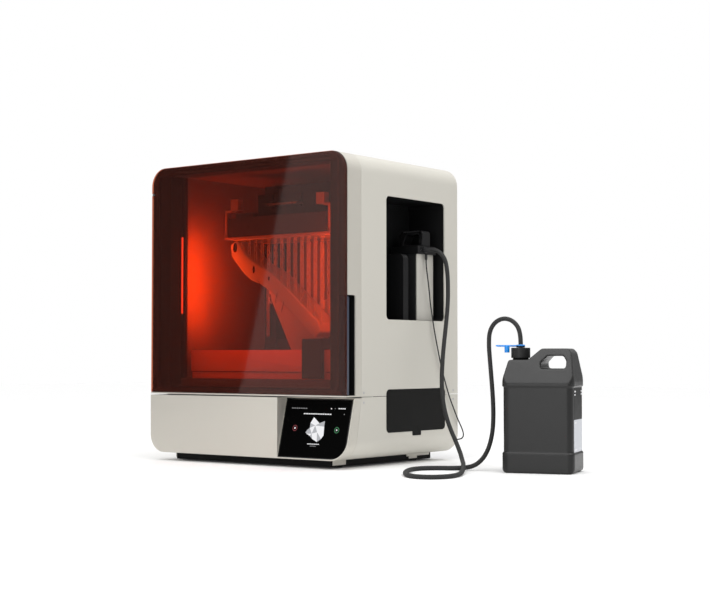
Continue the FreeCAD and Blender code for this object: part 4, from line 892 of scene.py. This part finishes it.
@dataclass
class Cords:
    """The resin hose and the pump's cable, by the points of their routes in metres."""

    hose_diameter: float = 0.011
    cable_diameter: float = 0.0035
    hose: list[Point] = field(default_factory=lambda: HOSE_POINTS)
    cable: list[Point] = field(default_factory=lambda: CABLE_POINTS)

    @staticmethod
    def line(name: str, points: Sequence[Point], diameter: float, finish: Finish,
             node: str) -> tuple[bpy.types.Object, float]:
        """Lay one cord along its points.

        Args:
            name: The cord's name.
            points: Its route in metres.
            diameter: Its diameter in metres.
            finish: Its surface finish.
            node: The frame node that it stands for.

        Returns:
            The cord and the length of its line.
        """
        curve = bpy.data.curves.new(name, "CURVE")
        curve.dimensions = "3D"
        curve.use_fill_caps = True
        curve.resolution_u = 10
        spline = curve.splines.new("NURBS")
        spline.points.add(len(points) - 1)
        for control, place in zip(spline.points, points):
            control.co = (*place, 1)
        spline.order_u = 3
        spline.use_endpoint_u = True
        cord = placed(name, curve)
        line = bpy.data.meshes.new_from_object(cord)
        places = [vert.co for vert in line.vertices]
        length = sum((b - a).length for a, b in zip(places, places[1:]))
        curve.bevel_depth = diameter / 2
        curve.bevel_resolution = 6
        dress(cord, finish, "housing", [node])
        return cord, length

    def build(self) -> None:
        """Lay both cords."""
        hose, length = self.line("supply_hose", self.hose, self.hose_diameter, HOSE, "pump_hose")
        cable, length = self.line("pump_lead", self.cable, self.cable_diameter, HOSE,
                                  "pump_cable")


# ---- housing ----------------------------------------------------------------------------
@dataclass
class Cabinet:
    """The painted shells, the front mouldings, the base and everything screwed to them."""

    edge: float = 0.0009
    fine_edge: float = 0.0005
    switch_mark: tuple[Point, Point] = ((584.2, 487.6, 74.0), (585.8, 489.55, 79.0))

    def shells(self) -> None:
        """Dress the painted shells and the front mouldings."""
        paint(SHELL, "upper_shell", "lower_shell")
        paint(FRONT, "front_frame", "lower_front_panel")
        paint(BLACK, "door_surround")
        paint(PAD, "door_seal")

    def base(self) -> None:
        """Dress the base, its feet and the corner brackets."""
        eased("base_tray", "base_pan", self.edge, COATED, "housing")
        eased("foot_brackets", "corner_brackets", self.edge, SHELL, "housing")
        paint(RUBBER, "rubber_feet")
        paint(STEEL, "housing_screws")

    def side(self) -> None:
        """Dress the side cover and the filter behind it."""
        paint(MESH, "side_cover")
        paint(FILTER, "filter_block")

    def rear(self) -> None:
        """Dress the rear panels, the sockets and the fan."""
        paint(COATED, "upper_rear_panel", "lower_rear_panel")
        for node, name in (("power_inlet", "mains_inlet"), ("power_rocker", "mains_switch"),
                           ("fan_frame", "fan_housing")):
            eased(node, name, self.fine_edge, DARK, frame_body(node))
        paint(DARK, "fan_rotor")
        paint(STEEL, "cable_socket")
        paint(BLACK, "cable_plug")
        paint(SHEET, "power_supply")
        paint(BOARD, "control_board")
        # Painted light: the switch's printed mark takes the screen's glowing white, so it shines
        # without a lamp.
        mark = Solid("switch_mark")
        mark.box(*(BOX.at(*corner) for corner in self.switch_mark))
        mark.done(UI_WHITE, "rocker")

    def build(self) -> None:
        """Make the whole cabinet."""
        self.shells()
        self.base()
        self.side()
        self.rear()


def frame_body(node: str) -> str:
    """Give the name of the body that a frame node belongs to."""
    return frame["nodes"][node].parent.name.split(":")[-1]


# ---- door -------------------------------------------------------------------------------
@dataclass
class Door:
    """The tinted door with its dark printed edge, its grip and the hinges."""

    low: float = 160.0
    high: float = 760.8
    left: float = 0.2
    right: float = 663.8
    back: float = 6.05
    corner: float = 46.0
    corner_steps: int = 12
    line: float = 9.0
    grip_edge: float = 0.0012

    def sheet(self) -> None:
        """Dress the sheet, the grip and the hinges."""
        paint(Tint(), "door_panel")
        eased("door_grip", "door_handle", self.grip_edge, GRIP, "door")
        paint(STEEL, "door_hinges")

    def outline(self, inset: float) -> list[Vector]:
        """Give the sheet's outline on its back face, set in from its edge.

        Args:
            inset: How far it is set in, in millimetres.

        Returns:
            The outline's corners, with round corners at the top.
        """
        left, right = self.left + inset, self.right - inset
        low, high, bend = self.low + inset, self.high - inset, self.corner - inset
        steps = self.corner_steps
        turns = [math.pi / 2 * step / steps for step in range(steps + 1)]
        corners = [(left, low), (right, low)]
        corners += [(right - bend + bend * math.cos(a), high - bend + bend * math.sin(a))
                    for a in turns]
        corners += [(left + bend - bend * math.sin(a), high - bend + bend * math.cos(a))
                    for a in turns]
        return [BOX.at(x, self.back, z) for x, z in corners]

    def edge_print(self) -> None:
        """Add the black edge that is printed on the sheet's back."""
        band = Solid("door_edge_print")
        outer, inner = self.outline(0.0), self.outline(self.line)
        loop = list(zip(outer, inner))
        for (a, b), (c, e) in zip(loop, loop[1:] + loop[:1]):
            band.patch([a, c, e, b])
        band.done(DARK_TRIM_AND_SHADE, "door", closed=False)

    def build(self) -> None:
        """Make the whole door."""
        self.sheet()
        self.edge_print()


# ---- screen -----------------------------------------------------------------------------
@dataclass
class Screen:
    """The slanted touch screen and the picture on it, in millimetres on its own plane."""

    active: tuple[float, float, float, float] = (450.5, 5.5, 657.5, 147.5)
    bend: float = 34.0
    bend_steps: int = 8
    disc_steps: int = 28
    panel_out: float = 0.03
    hollow_out: float = 0.02
    mark_out: float = 0.04
    facet_out: float = 0.05
    line_out: float = 0.06
    bar_share: float = 0.82
    hollow: Point = (554.1, 58.1, 4.2)
    stop_button: Spot = (489.4, 76.2)
    run_button: Spot = (622.5, 74.5)
    button_radius: float = 7.6
    button_hole: float = 5.6
    button_marks: list[list[Spot]] = field(default_factory=lambda: [
        [(487.4, 74.2), (491.4, 74.2), (491.4, 78.2), (487.4, 78.2)],
        [(620.6, 72.0), (626.0, 74.5), (620.6, 77.0)]])
    white_rows: list[tuple[float, float, float, float, int]] = field(default_factory=lambda: [
        (617.8, 641.5, 126.7, 2.4, 4), (510.6, 600.0, 112.3, 2.6, 12),
        (536.9, 575.2, 38.6, 2.0, 6)])
    dim_rows: list[tuple[float, float, float, float, int]] = field(default_factory=lambda: [
        (469.2, 520.3, 125.4, 2.2, 7), (546.0, 565.2, 33.7, 1.8, 4)])
    white_dots: list[Point] = field(default_factory=lambda: [(596.1, 126.2, 1.7)])
    dim_dots: list[Point] = field(default_factory=lambda: [
        (607.6, 126.4, 1.2), (638.6, 113.0, 1.5)])
    model: list[Spot] = field(default_factory=lambda: [
        (545.4, 104.3), (565.5, 89.8), (581.5, 95.7), (581.9, 82.0), (584.0, 60.6),
        (577.5, 51.7), (565.9, 44.1), (549.7, 51.1), (540.2, 58.5), (529.3, 63.2),
        (525.5, 66.4), (530.7, 73.3), (537.1, 77.9), (536.9, 89.7)])
    hubs: list[Spot] = field(default_factory=lambda: [
        (553.0, 84.0), (562.0, 68.0), (546.0, 64.0)])

    def patch(self, solid: Solid, corners: Sequence[Spot], out: float) -> None:
        """Add one flat shape to the picture.

        Args:
            solid: The mesh that gets it.
            corners: Its corners on the screen's plane.
            out: How far in front of the glass it lies, in millimetres.
        """
        solid.patch([BOX.on_screen(x, z, out) for x, z in corners], Vector((0, -1, 0)))

    def bar(self, solid: Solid, left: float, right: float, z: float, tall: float,
            parts: int) -> None:
        """Add a row of short bars that stands for a line of a menu.

        Args:
            solid: The mesh that gets them.
            left: The row's left end.
            right: The row's right end.
            z: The row's middle height.
            tall: The bars' height.
            parts: How many bars it is parted into.
        """
        step = (right - left) / parts
        for index in range(parts):
            near = left + step * index
            far = near + step * self.bar_share
            self.patch(solid, [(near, z - tall / 2), (far, z - tall / 2), (far, z + tall / 2),
                               (near, z + tall / 2)], self.line_out)

    def disc(self, solid: Solid, x: float, z: float, radius: float, out: float,
             hole: float = 0.0) -> None:
        """Add a disc or a flat ring.

        Args:
            solid: The mesh that gets it.
            x: Its middle's distance from the left wall.
            z: Its middle's height.
            radius: Its outer radius.
            out: How far in front of the glass it lies.
            hole: A ring's inner radius.
        """
        steps = self.disc_steps
        spots = [(math.cos(2 * math.pi * i / steps), math.sin(2 * math.pi * i / steps))
                 for i in range(steps)]
        if not hole:
            self.patch(solid, [(x + radius * c, z + radius * s) for c, s in spots], out)
            return
        for (c, s), (e, f) in zip(spots, spots[1:] + spots[:1]):
            self.patch(solid, [(x + hole * c, z + hole * s), (x + radius * c, z + radius * s),
                               (x + radius * e, z + radius * f), (x + hole * e, z + hole * f)],
                       out)

    def menu(self, white: Solid, dim: Solid) -> None:
        """Draw the menu rows and the dots between them.

        Args:
            white: The mesh of the bright lines.
            dim: The mesh of the faint lines.
        """
        for solid, rows in ((white, self.white_rows), (dim, self.dim_rows)):
            for left, right, z, tall, parts in rows:
                self.bar(solid, left, right, z, tall, parts)
        for solid, dots in ((white, self.white_dots), (dim, self.dim_dots)):
            for x, z, radius in dots:
                self.disc(solid, x, z, radius, self.line_out)

    def shape(self, white: Solid, facets: Solid) -> None:
        """Draw the faceted model.

        Args:
            white: The mesh of the bright facets.
            facets: The mesh of the shaded facets.
        """
        m, (a, b, c) = self.model, self.hubs
        for corners in ([m[0], m[1], a, m[13]], [m[3], m[4], b, a], [m[8], m[9], c],
                        [m[12], a, c], [m[4], m[5], b], [m[6], m[7], c, b]):
            self.patch(white, corners, self.facet_out)
        for corners in ([m[1], m[2], m[3], a], [m[5], m[6], b], [m[9], m[10], m[11], c],
                        [m[12], m[13], a], [m[7], m[8], c], [m[11], m[12], c], [a, b, c]):
            self.patch(facets, corners, self.facet_out)

    def picture(self) -> None:
        """Draw the menu rows, the buttons and the faceted model."""
        hole, white, facets, dim, red, green = (Solid(name) for name in (
            "screen_hollow", "screen_lines", "screen_facets", "screen_rows", "stop_button",
            "run_button"))
        self.menu(white, dim)
        self.shape(white, facets)
        self.disc(hole, *self.hollow, self.hollow_out)
        for solid, (x, z) in ((red, self.stop_button), (green, self.run_button)):
            self.disc(solid, x, z, self.button_radius, self.line_out, self.button_hole)
        for corners in self.button_marks:
            self.patch(white, corners, self.mark_out)
        for solid, finish in ((hole, GLASS), (white, UI_WHITE), (facets, UI_SHADE),
                              (dim, UI_DIM), (red, UI_RED), (green, UI_GREEN)):
            solid.done(finish, "housing", closed=False)

    def build(self) -> None:
        """Make the whole screen."""
        paint(GLASS, "display_glass")
        paint(BOARD, "display_module")
        panel = Solid("screen_area")
        left, low, right, high = self.active
        steps, bend = self.bend_steps, self.bend
        turn = [math.pi * step / (2 * steps) for step in range(steps + 1)]
        corner = [(right - bend + bend * math.sin(a), low + bend - bend * math.cos(a))
                  for a in turn]
        self.patch(panel, [(left, low), *corner, (right, high), (left, high)], self.panel_out)
        panel.done(UI_PANEL, "housing", closed=False)
        self.picture()


# ---- chamber ----------------------------------------------------------------------------
@dataclass
class Chamber:
    """The dark liner, its light bars, the tank with the mixer and the optics below."""

    vat_edge: float = 0.0018
    mixer_edge: float = 0.0025
    cover_edge: float = 0.0008
    cover: tuple[Point, Point] = ((51.2, 60.5, 197), (66, 72, 747))
    seams: list[tuple[Point, Point]] = field(default_factory=lambda: [
        ((74.0, 79.9, 214.0), (470.0, 80.6, 215.6)),
        ((541.0, 79.9, 214.0), (576.0, 80.6, 215.6))])
    amber: Colour = (1.0, 0.17, 0.012)
    lamps: list[tuple[str, Point, Point, Spot, float]] = field(default_factory=lambda: [
        ("left_bar_wash", (118, 104, 465), (36, 168, 465), (40, 230), 2.7),
        ("left_bar_far", (66, 82, 475), (420, 260, 440), (10, 200), 1.5),
        ("right_bar_far", (606, 82, 475), (320, 240, 470), (10, 200), 1.1),
        ("vat_front", (300, 14, 300), (300, 90, 225), (420, 30), 0.10)])

    def lining(self) -> None:
        """Dress the liner and the deck."""
        paint(LINER, "chamber_liner", "deck_plate")
        paint(LED, "led_bars")
        paint(SHEET, "light_engine")
        paint(PANEL, "lcd_panel")

    def tank(self) -> None:
        """Dress the tank, its film and the mixer."""
        eased("resin_tank", "resin_vat", self.vat_edge, TANK, "tank", 3)
        paint(FILM, "tank_film")
        eased("mixer", "mixer_arm_block", self.mixer_edge, DARK, "mixer_arm", 3)
        line = Solid("vat_seam")
        for low, high in self.seams:
            line.box(BOX.at(*low), BOX.at(*high))
        line.done(DARK_TRIM_AND_SHADE, "tank")

    def post(self) -> None:
        """Add the dark cover that hides the left light bar's side."""
        cover = Solid("light_bar_cover")
        cover.box(*(BOX.at(*corner) for corner in self.cover), self.cover_edge)
        cover.done(DARK_TRIM_AND_SHADE, "housing")

    def glow(self) -> None:
        """Hang the orange lights that the light bars stand for."""
        for name, place, target, (wide, tall), power in self.lamps:
            lamp = area_light(name, BOX.at(*place), BOX.at(*target),
                              (wide / 1000, tall / 1000), power, self.amber)
            lamp.visible_camera = False
            lamp.visible_glossy = False

    def build(self) -> None:
        """Make the whole chamber."""
        self.lining()
        self.tank()
        self.post()
        self.glow()


@dataclass
class Lift:
    """The Z axis with its carriage, the build platform and its handles."""

    carriage_edge: float = 0.002
    lever_edge: float = 0.0009
    sheet_edge: float = 0.0004
    handle_edge: float = 0.0015

    def build(self) -> None:
        """Dress the lift."""
        paint(COATED, "z_portal")
        paint(RAIL, "z_rails", "z_leadscrew")
        paint(COATED, "z_motor")
        eased("z_carriage", "lift_carriage", self.carriage_edge, COATED, "carriage", 3)
        eased("lock_lever", "lock_bail", self.lever_edge, STEEL, "lever")
        paint(ANODISED, "platform_body")
        eased("build_sheet", "platform_sheet", self.sheet_edge, SPRING, "carriage")
        for side in ("left", "right"):
            eased(f"release_handle_{side}", f"{side}_release_grip", self.handle_edge, SPRING,
                  f"{side}_handle", 3)


@dataclass
class Workpiece:
    """The cured workpiece: a curved duct, a long beam, a fan web and its lattice supports."""

    front: float = 137.0
    back: float = 214.0
    foot: float = 571.0
    web_half: float = 4.0
    duct_edge: float = 0.006
    web_edge: float = 0.0015
    raft_edge: float = 0.0008
    lump_edge: float = 0.008
    post_radius: float = 0.0010
    post_gap: float = 8.0
    post_step: float = 23.0
    post_start: float = 200.0
    post_end: float = 488.0
    rung: float = 11.0
    shortest: float = 14.0
    rear_foot: float = 400.0
    mouth_steps: int = 20
    rows: list[tuple[str, float, float]] = field(default_factory=lambda: [
        ("support_row_front", 141.0, 0.0), ("support_row_back", 211.0, 9.0),
        ("support_row_rear", 250.0, 4.0)])
    mouths: list[tuple[float, float, float, float]] = field(default_factory=lambda: [
        (180, 549, 9, 13), (247, 487, 5, 10), (300, 462, 4, 6)])
    creases: list[tuple[Spot, Spot]] = field(default_factory=lambda: [
        ((258, 462), (282, 430)), ((330, 424), (322, 396)), ((352, 400), (344, 372))])
    lump: list[Spot] = field(default_factory=lambda: [
        (400, 402), (436, 408), (480, 430), (494, 446), (492, 410), (470, 372), (440, 350),
        (414, 362)])
    duct: list[Spot] = field(default_factory=lambda: [
        (160, 558), (182, 568.5), (197, 556), (210, 538), (234, 517), (262, 500), (306, 480),
        (472, 343), (478, 318), (456, 304), (300, 430), (262, 450), (236, 458), (214, 474),
        (188, 500), (166, 524)])
    web: list[Spot] = field(default_factory=lambda: [
        (268, 452), (282, 400), (352, 266), (398, 252), (456, 305), (456, 312), (300, 436)])

    def body(self) -> None:
        """Make the duct, the beam, the web and the raft that they hang from."""
        solid = Solid("workpiece")
        deep = Vector((0, (self.back - self.front) / 1000, 0))
        solid.prism([BOX.at(x, self.front, z) for x, z in self.duct], deep, self.duct_edge, 4)
        middle = (self.front + self.back) / 2
        solid.prism([BOX.at(x, middle - self.web_half, z) for x, z in self.web],
                    mm(0, 2 * self.web_half, 0), self.web_edge, 2)
        solid.box(BOX.at(176, self.front - 8, self.foot - 3), BOX.at(496, 261, self.foot),
                  self.raft_edge)
        solid.done(CURED, "carriage", ["printed_part"], 40.0)

    def marks(self) -> None:
        """Make the painted shade in the duct's mouths and creases."""
        # Painted shade: dark discs stand for the shade inside the mouths, and dark rods for the
        # shade in the creases.
        painted_shade = Solid("duct_mouth")
        steps = self.mouth_steps
        for x, z, wide, tall in self.mouths:
            ring = [BOX.at(x + wide * math.cos(2 * math.pi * i / steps) * 0.8,
                           self.front - 0.15, z + tall * math.sin(2 * math.pi * i / steps))
                    for i in range(steps)]
            painted_shade.prism(ring, Vector((0, 0.0006, 0)))
        for (x, z), (far, low) in self.creases:
            painted_shade.rod(BOX.at(x, self.front + 0.2, z), BOX.at(far, self.front + 0.2, low), 0.0007,
                      sides=8)
        painted_shade.done(DARK_TRIM_AND_SHADE, "carriage", smooth=30.0)

    def top_of(self, x: float) -> float:
        """Give the height of the duct's and the beam's upper edge.

        Args:
            x: A place along them, from the left wall.

        Returns:
            The height over the housing's underside.
        """
        upper = self.duct[1:8]
        for (near, high), (far, low) in zip(upper, upper[1:]):
            if near <= x <= far:
                return high + (low - high) * (x - near) / (far - near)
        return upper[-1][1]

    def ladder(self, solid: Solid, x: float, y: float, low: float) -> None:
        """Add one lattice support: two thin posts and a zigzag between them.

        Args:
            solid: The mesh that gets it.
            x: Its left post.
            y: Its distance behind the door.
            low: The height of its foot.
        """
        thin, wide, high = self.post_radius, self.post_gap, self.foot - 2
        for post in (x, x + wide):
            solid.rod(BOX.at(post, y, low), BOX.at(post, y, high), thin, sides=4)
        steps = max(1, int((high - low) / self.rung))
        rise = (high - low) / steps
        for index in range(steps):
            near, far = (x, x + wide) if index % 2 else (x + wide, x)
            solid.rod(BOX.at(near, y, low + rise * index),
                      BOX.at(far, y, low + rise * (index + 1)), thin, sides=4)

    def supports(self) -> None:
        """Make the rows of lattice supports."""
        for name, y, shift in self.rows:
            solid = Solid(name)
            x = self.post_start + shift
            while x < self.post_end:
                under = self.top_of(x + self.post_gap / 2) - 2
                low = self.rear_foot if y > self.back else under
                if low < self.foot - self.shortest:
                    self.ladder(solid, x, y, low)
                x += self.post_step
            solid.done(CURED, "carriage", smooth=20.0)

    def second(self) -> None:
        """Make the small second workpiece behind the beam."""
        lump = Solid("second_workpiece")
        lump.prism([BOX.at(x, 218, z) for x, z in self.lump], mm(0, 40, 0), self.lump_edge, 4)
        lump.done(CURED, "carriage", smooth=40.0)

    def build(self) -> None:
        """Make the workpieces and their supports."""
        self.body()
        self.marks()
        self.supports()
        self.second()


# ---- bay and pump -----------------------------------------------------------------------
@dataclass
class PumpBay:
    """The side bay and the pump that stands in it."""

    eased_nodes: list[tuple[str, str, float, Finish, int]] = field(default_factory=lambda: [
        ("pump_body", "pump_case", 0.002, DARK, 3),
        ("pump_side_plate", "pump_face", 0.0006, PLATE, 2),
        ("pump_top_cover", "pump_lid", 0.0025, BLACK, 3),
        ("pump_handle", "pump_grip", 0.003, BLACK, 3),
        ("hose_fittings", "hose_nozzle", 0.0005, DARK, 2)])
    screws: list[tuple[Point, float]] = field(default_factory=lambda: [
        ((649.6, 341.0, 534.0), 0.0017), ((649.6, 406.0, 534.0), 0.0017),
        ((640.0, 341.5, 515.0), 0.0014)])
    screw_head: float = 0.4
    seams: list[tuple[Point, Point]] = field(default_factory=lambda: [
        ((600.0, 335.7, 350.0), (601.2, 336.4, 523.0)),
        ((562.0, 335.7, 470.0), (634.0, 336.4, 471.2))])

    def build(self) -> None:
        """Dress the bay and the pump, and add the pump's small parts."""
        paint(BLACK, "cartridge_bay")
        for node, name, width, finish, segments in self.eased_nodes:
            eased(node, name, width, finish, "housing", segments)
        screws = Solid("pump_screws")
        for (x, y, z), radius in self.screws:
            screws.rod(BOX.at(x, y, z), BOX.at(x + self.screw_head, y, z), radius, sides=20)
        screws.done(STEEL, "housing")
        seam = Solid("pump_seams")
        for low, high in self.seams:
            seam.box(BOX.at(*low), BOX.at(*high))
        seam.done(DARK_TRIM_AND_SHADE, "housing")


# ---- jug --------------------------------------------------------------------------------
@dataclass
class Canister:
    """The blow-moulded jug with its label, ribbed cap and blue tether."""

    voxel: float = 0.0018
    waist: float = 0.968
    base_top: float = 47.0
    lip: float = 206.0
    smoothings: int = 5
    core: tuple[Point, Point] = ((-86.2, -63.7, 4), (86.2, 63.7, 212))
    shoulder: tuple[Point, Point] = ((-74, -33, 205), (-21, 33, 232))
    neck: tuple[float, float, float] = (225, 290, 0.0175)
    label_face: float = 0.35
    labels: list[tuple[str, float, float, Finish]] = field(default_factory=lambda: [
        ("label_top", 127.0, 203.0, LABEL_DARK), ("label_foot", 50.0, 127.0, LABEL_PALE)])
    label_bars: list[Point] = field(default_factory=lambda: [
        (192.0, -41.0, -26.0), (184.0, -41.0, -30.0), (192.0, 34.0, 45.0),
        (185.0, 34.0, 45.0), (118.0, -41.0, -18.0), (54.0, -41.0, -12.0)])
    ribs: int = 40
    rib: tuple[Point, Point] = ((22.2, -0.7, 275.0), (22.96, 0.7, 295.0))
    lid_edge: float = 0.0012
    ring_height: float = 303.5
    straps: list[tuple[Point, Point, float, int]] = field(default_factory=lambda: [
        ((-112, -3.4, 300.4), (-64, 3.4, 304.6), 0.0012, 2),
        ((-115.5, -3.9, 301.2), (-106, 3.9, 304.8), 0.0014, 3)])
    plugs: list[tuple[float, float, float, float]] = field(default_factory=lambda: [
        (-88.0, 286.2, 304.0, 6.2), (-88.0, 297.5, 299.5, 6.48)])

    def filled(self) -> bpy.types.Object:
        """Fill the frame's hollow jug with solid pieces, so that it melts into one skin."""
        rough, turn = Solid("jug_rough", "jug_body"), JUG.matrix()
        low, neck_top, radius = self.neck
        rough.box(mm(*self.core[0]), mm(*self.core[1]), 0.011, 4, turn)
        rough.box(mm(*self.shoulder[0]), mm(*self.shoulder[1]), 0.004, 2, turn)
        rough.rod(JUG.at(JUG.neck_x, 0, low), JUG.at(JUG.neck_x, 0, neck_top), radius)
        return rough.loose()

    def body(self) -> None:
        """Make the jug's soft body from the frame's mesh."""
        draft = self.filled()
        melt = draft.modifiers.new("melt", "REMESH")
        melt.mode = "VOXEL"
        melt.voxel_size = self.voxel
        bpy.context.view_layer.update()
        graph = bpy.context.evaluated_depsgraph_get()
        solid = Solid("jug_shell")
        solid.bm.from_mesh(draft.evaluated_get(graph).to_mesh())
        bpy.data.objects.remove(draft)
        for _ in range(self.smoothings):
            bmesh.ops.smooth_vert(solid.bm, verts=solid.bm.verts, factor=0.5,
                                  use_axis_x=True, use_axis_y=True, use_axis_z=True)
        place, back = JUG.matrix(), JUG.matrix().inverted()
        for vert in solid.bm.verts:
            local = back @ vert.co
            waist = self.waist_at(local.z * 1000)
            vert.co = place @ Vector((local.x * waist, local.y * waist, local.z))
        solid.done(JUG_BODY, "housing", ["jug_body"], 60.0)

    def waist_at(self, z: float) -> float:
        """Give how far the jug's side is drawn in at a height.

        Args:
            z: The height over the floor in millimetres.

        Returns:
            1 at the foot and at the lip, and less between them.
        """
        foot = min(1.0, max(0.0, (z - self.base_top) / 3))
        lip = min(1.0, max(0.0, (self.lip - z) / 2))
        return 1 - (1 - self.waist) * foot * lip

    def label(self) -> None:
        """Lay the two-part label with its plain bars on the jug's end."""
        face = JUG.length / 2 * self.waist + self.label_face
        for name, low, high, finish in self.labels:
            part = Solid(name)
            part.box(mm(face - 1.2, -46, low), mm(face, 48, high), 0.0003, 1, JUG.matrix())
            part.done(finish, "housing")
        marks = Solid("label_bars")
        for z, near, far in self.label_bars:
            marks.box(mm(face - 0.2, near, z), mm(face + 0.1, far, z + 4), turn=JUG.matrix())
        marks.done(LABEL_MARK, "housing")

    def cap(self) -> None:
        """Dress the cap and add its grip ribs."""
        eased("jug_cap", "jug_lid", self.lid_edge, CAP, "cap", 3)
        ribs = Solid("jug_lid_ribs")
        middle = JUG.matrix() @ Matrix.Translation((JUG.neck_x / 1000, 0, 0))
        for index in range(self.ribs):
            turn = middle @ Matrix.Rotation(2 * math.pi * index / self.ribs, 4, "Z")
            ribs.box(mm(*self.rib[0]), mm(*self.rib[1]), 0.0003, 1, turn)
        ribs.done(CAP, "cap")
        paint(BLACK, "jug_fitting")

    def tether(self) -> None:
        """Make the blue ring, its strap and the plug that hangs from it."""
        strap = Solid("tether_strap")
        strap.ring(JUG.at(JUG.neck_x, 0, self.ring_height), Vector((0, 0, 1)), 0.0088, 0.0021, 32)
        for low, high, bevel, segments in self.straps:
            strap.box(mm(*low), mm(*high), bevel, segments, JUG.matrix())
        for x, low, high, radius in self.plugs:
            strap.rod(JUG.at(x, 0, low), JUG.at(x, 0, high), radius / 1000, sides=28,
                      bevel=0.0007)
        strap.done(BLUE, "housing", ["cap_tether"])

    def build(self) -> None:
        """Make the whole canister."""
        self.body()
        self.label()
        self.cap()
        self.tether()


def main() -> None:
    """Build the studio and the printer in order."""
    logging.basicConfig(level=logging.INFO, format="%(message)s")
    for part in (Studio(), Cords(), Cabinet(), Door(), Screen(), Chamber(), Lift(), Workpiece(),
                 PumpBay(), Canister()):
        part.build()
        LOG.info("%s is built", type(part).__name__)


if __name__ == "__main__":
    main()
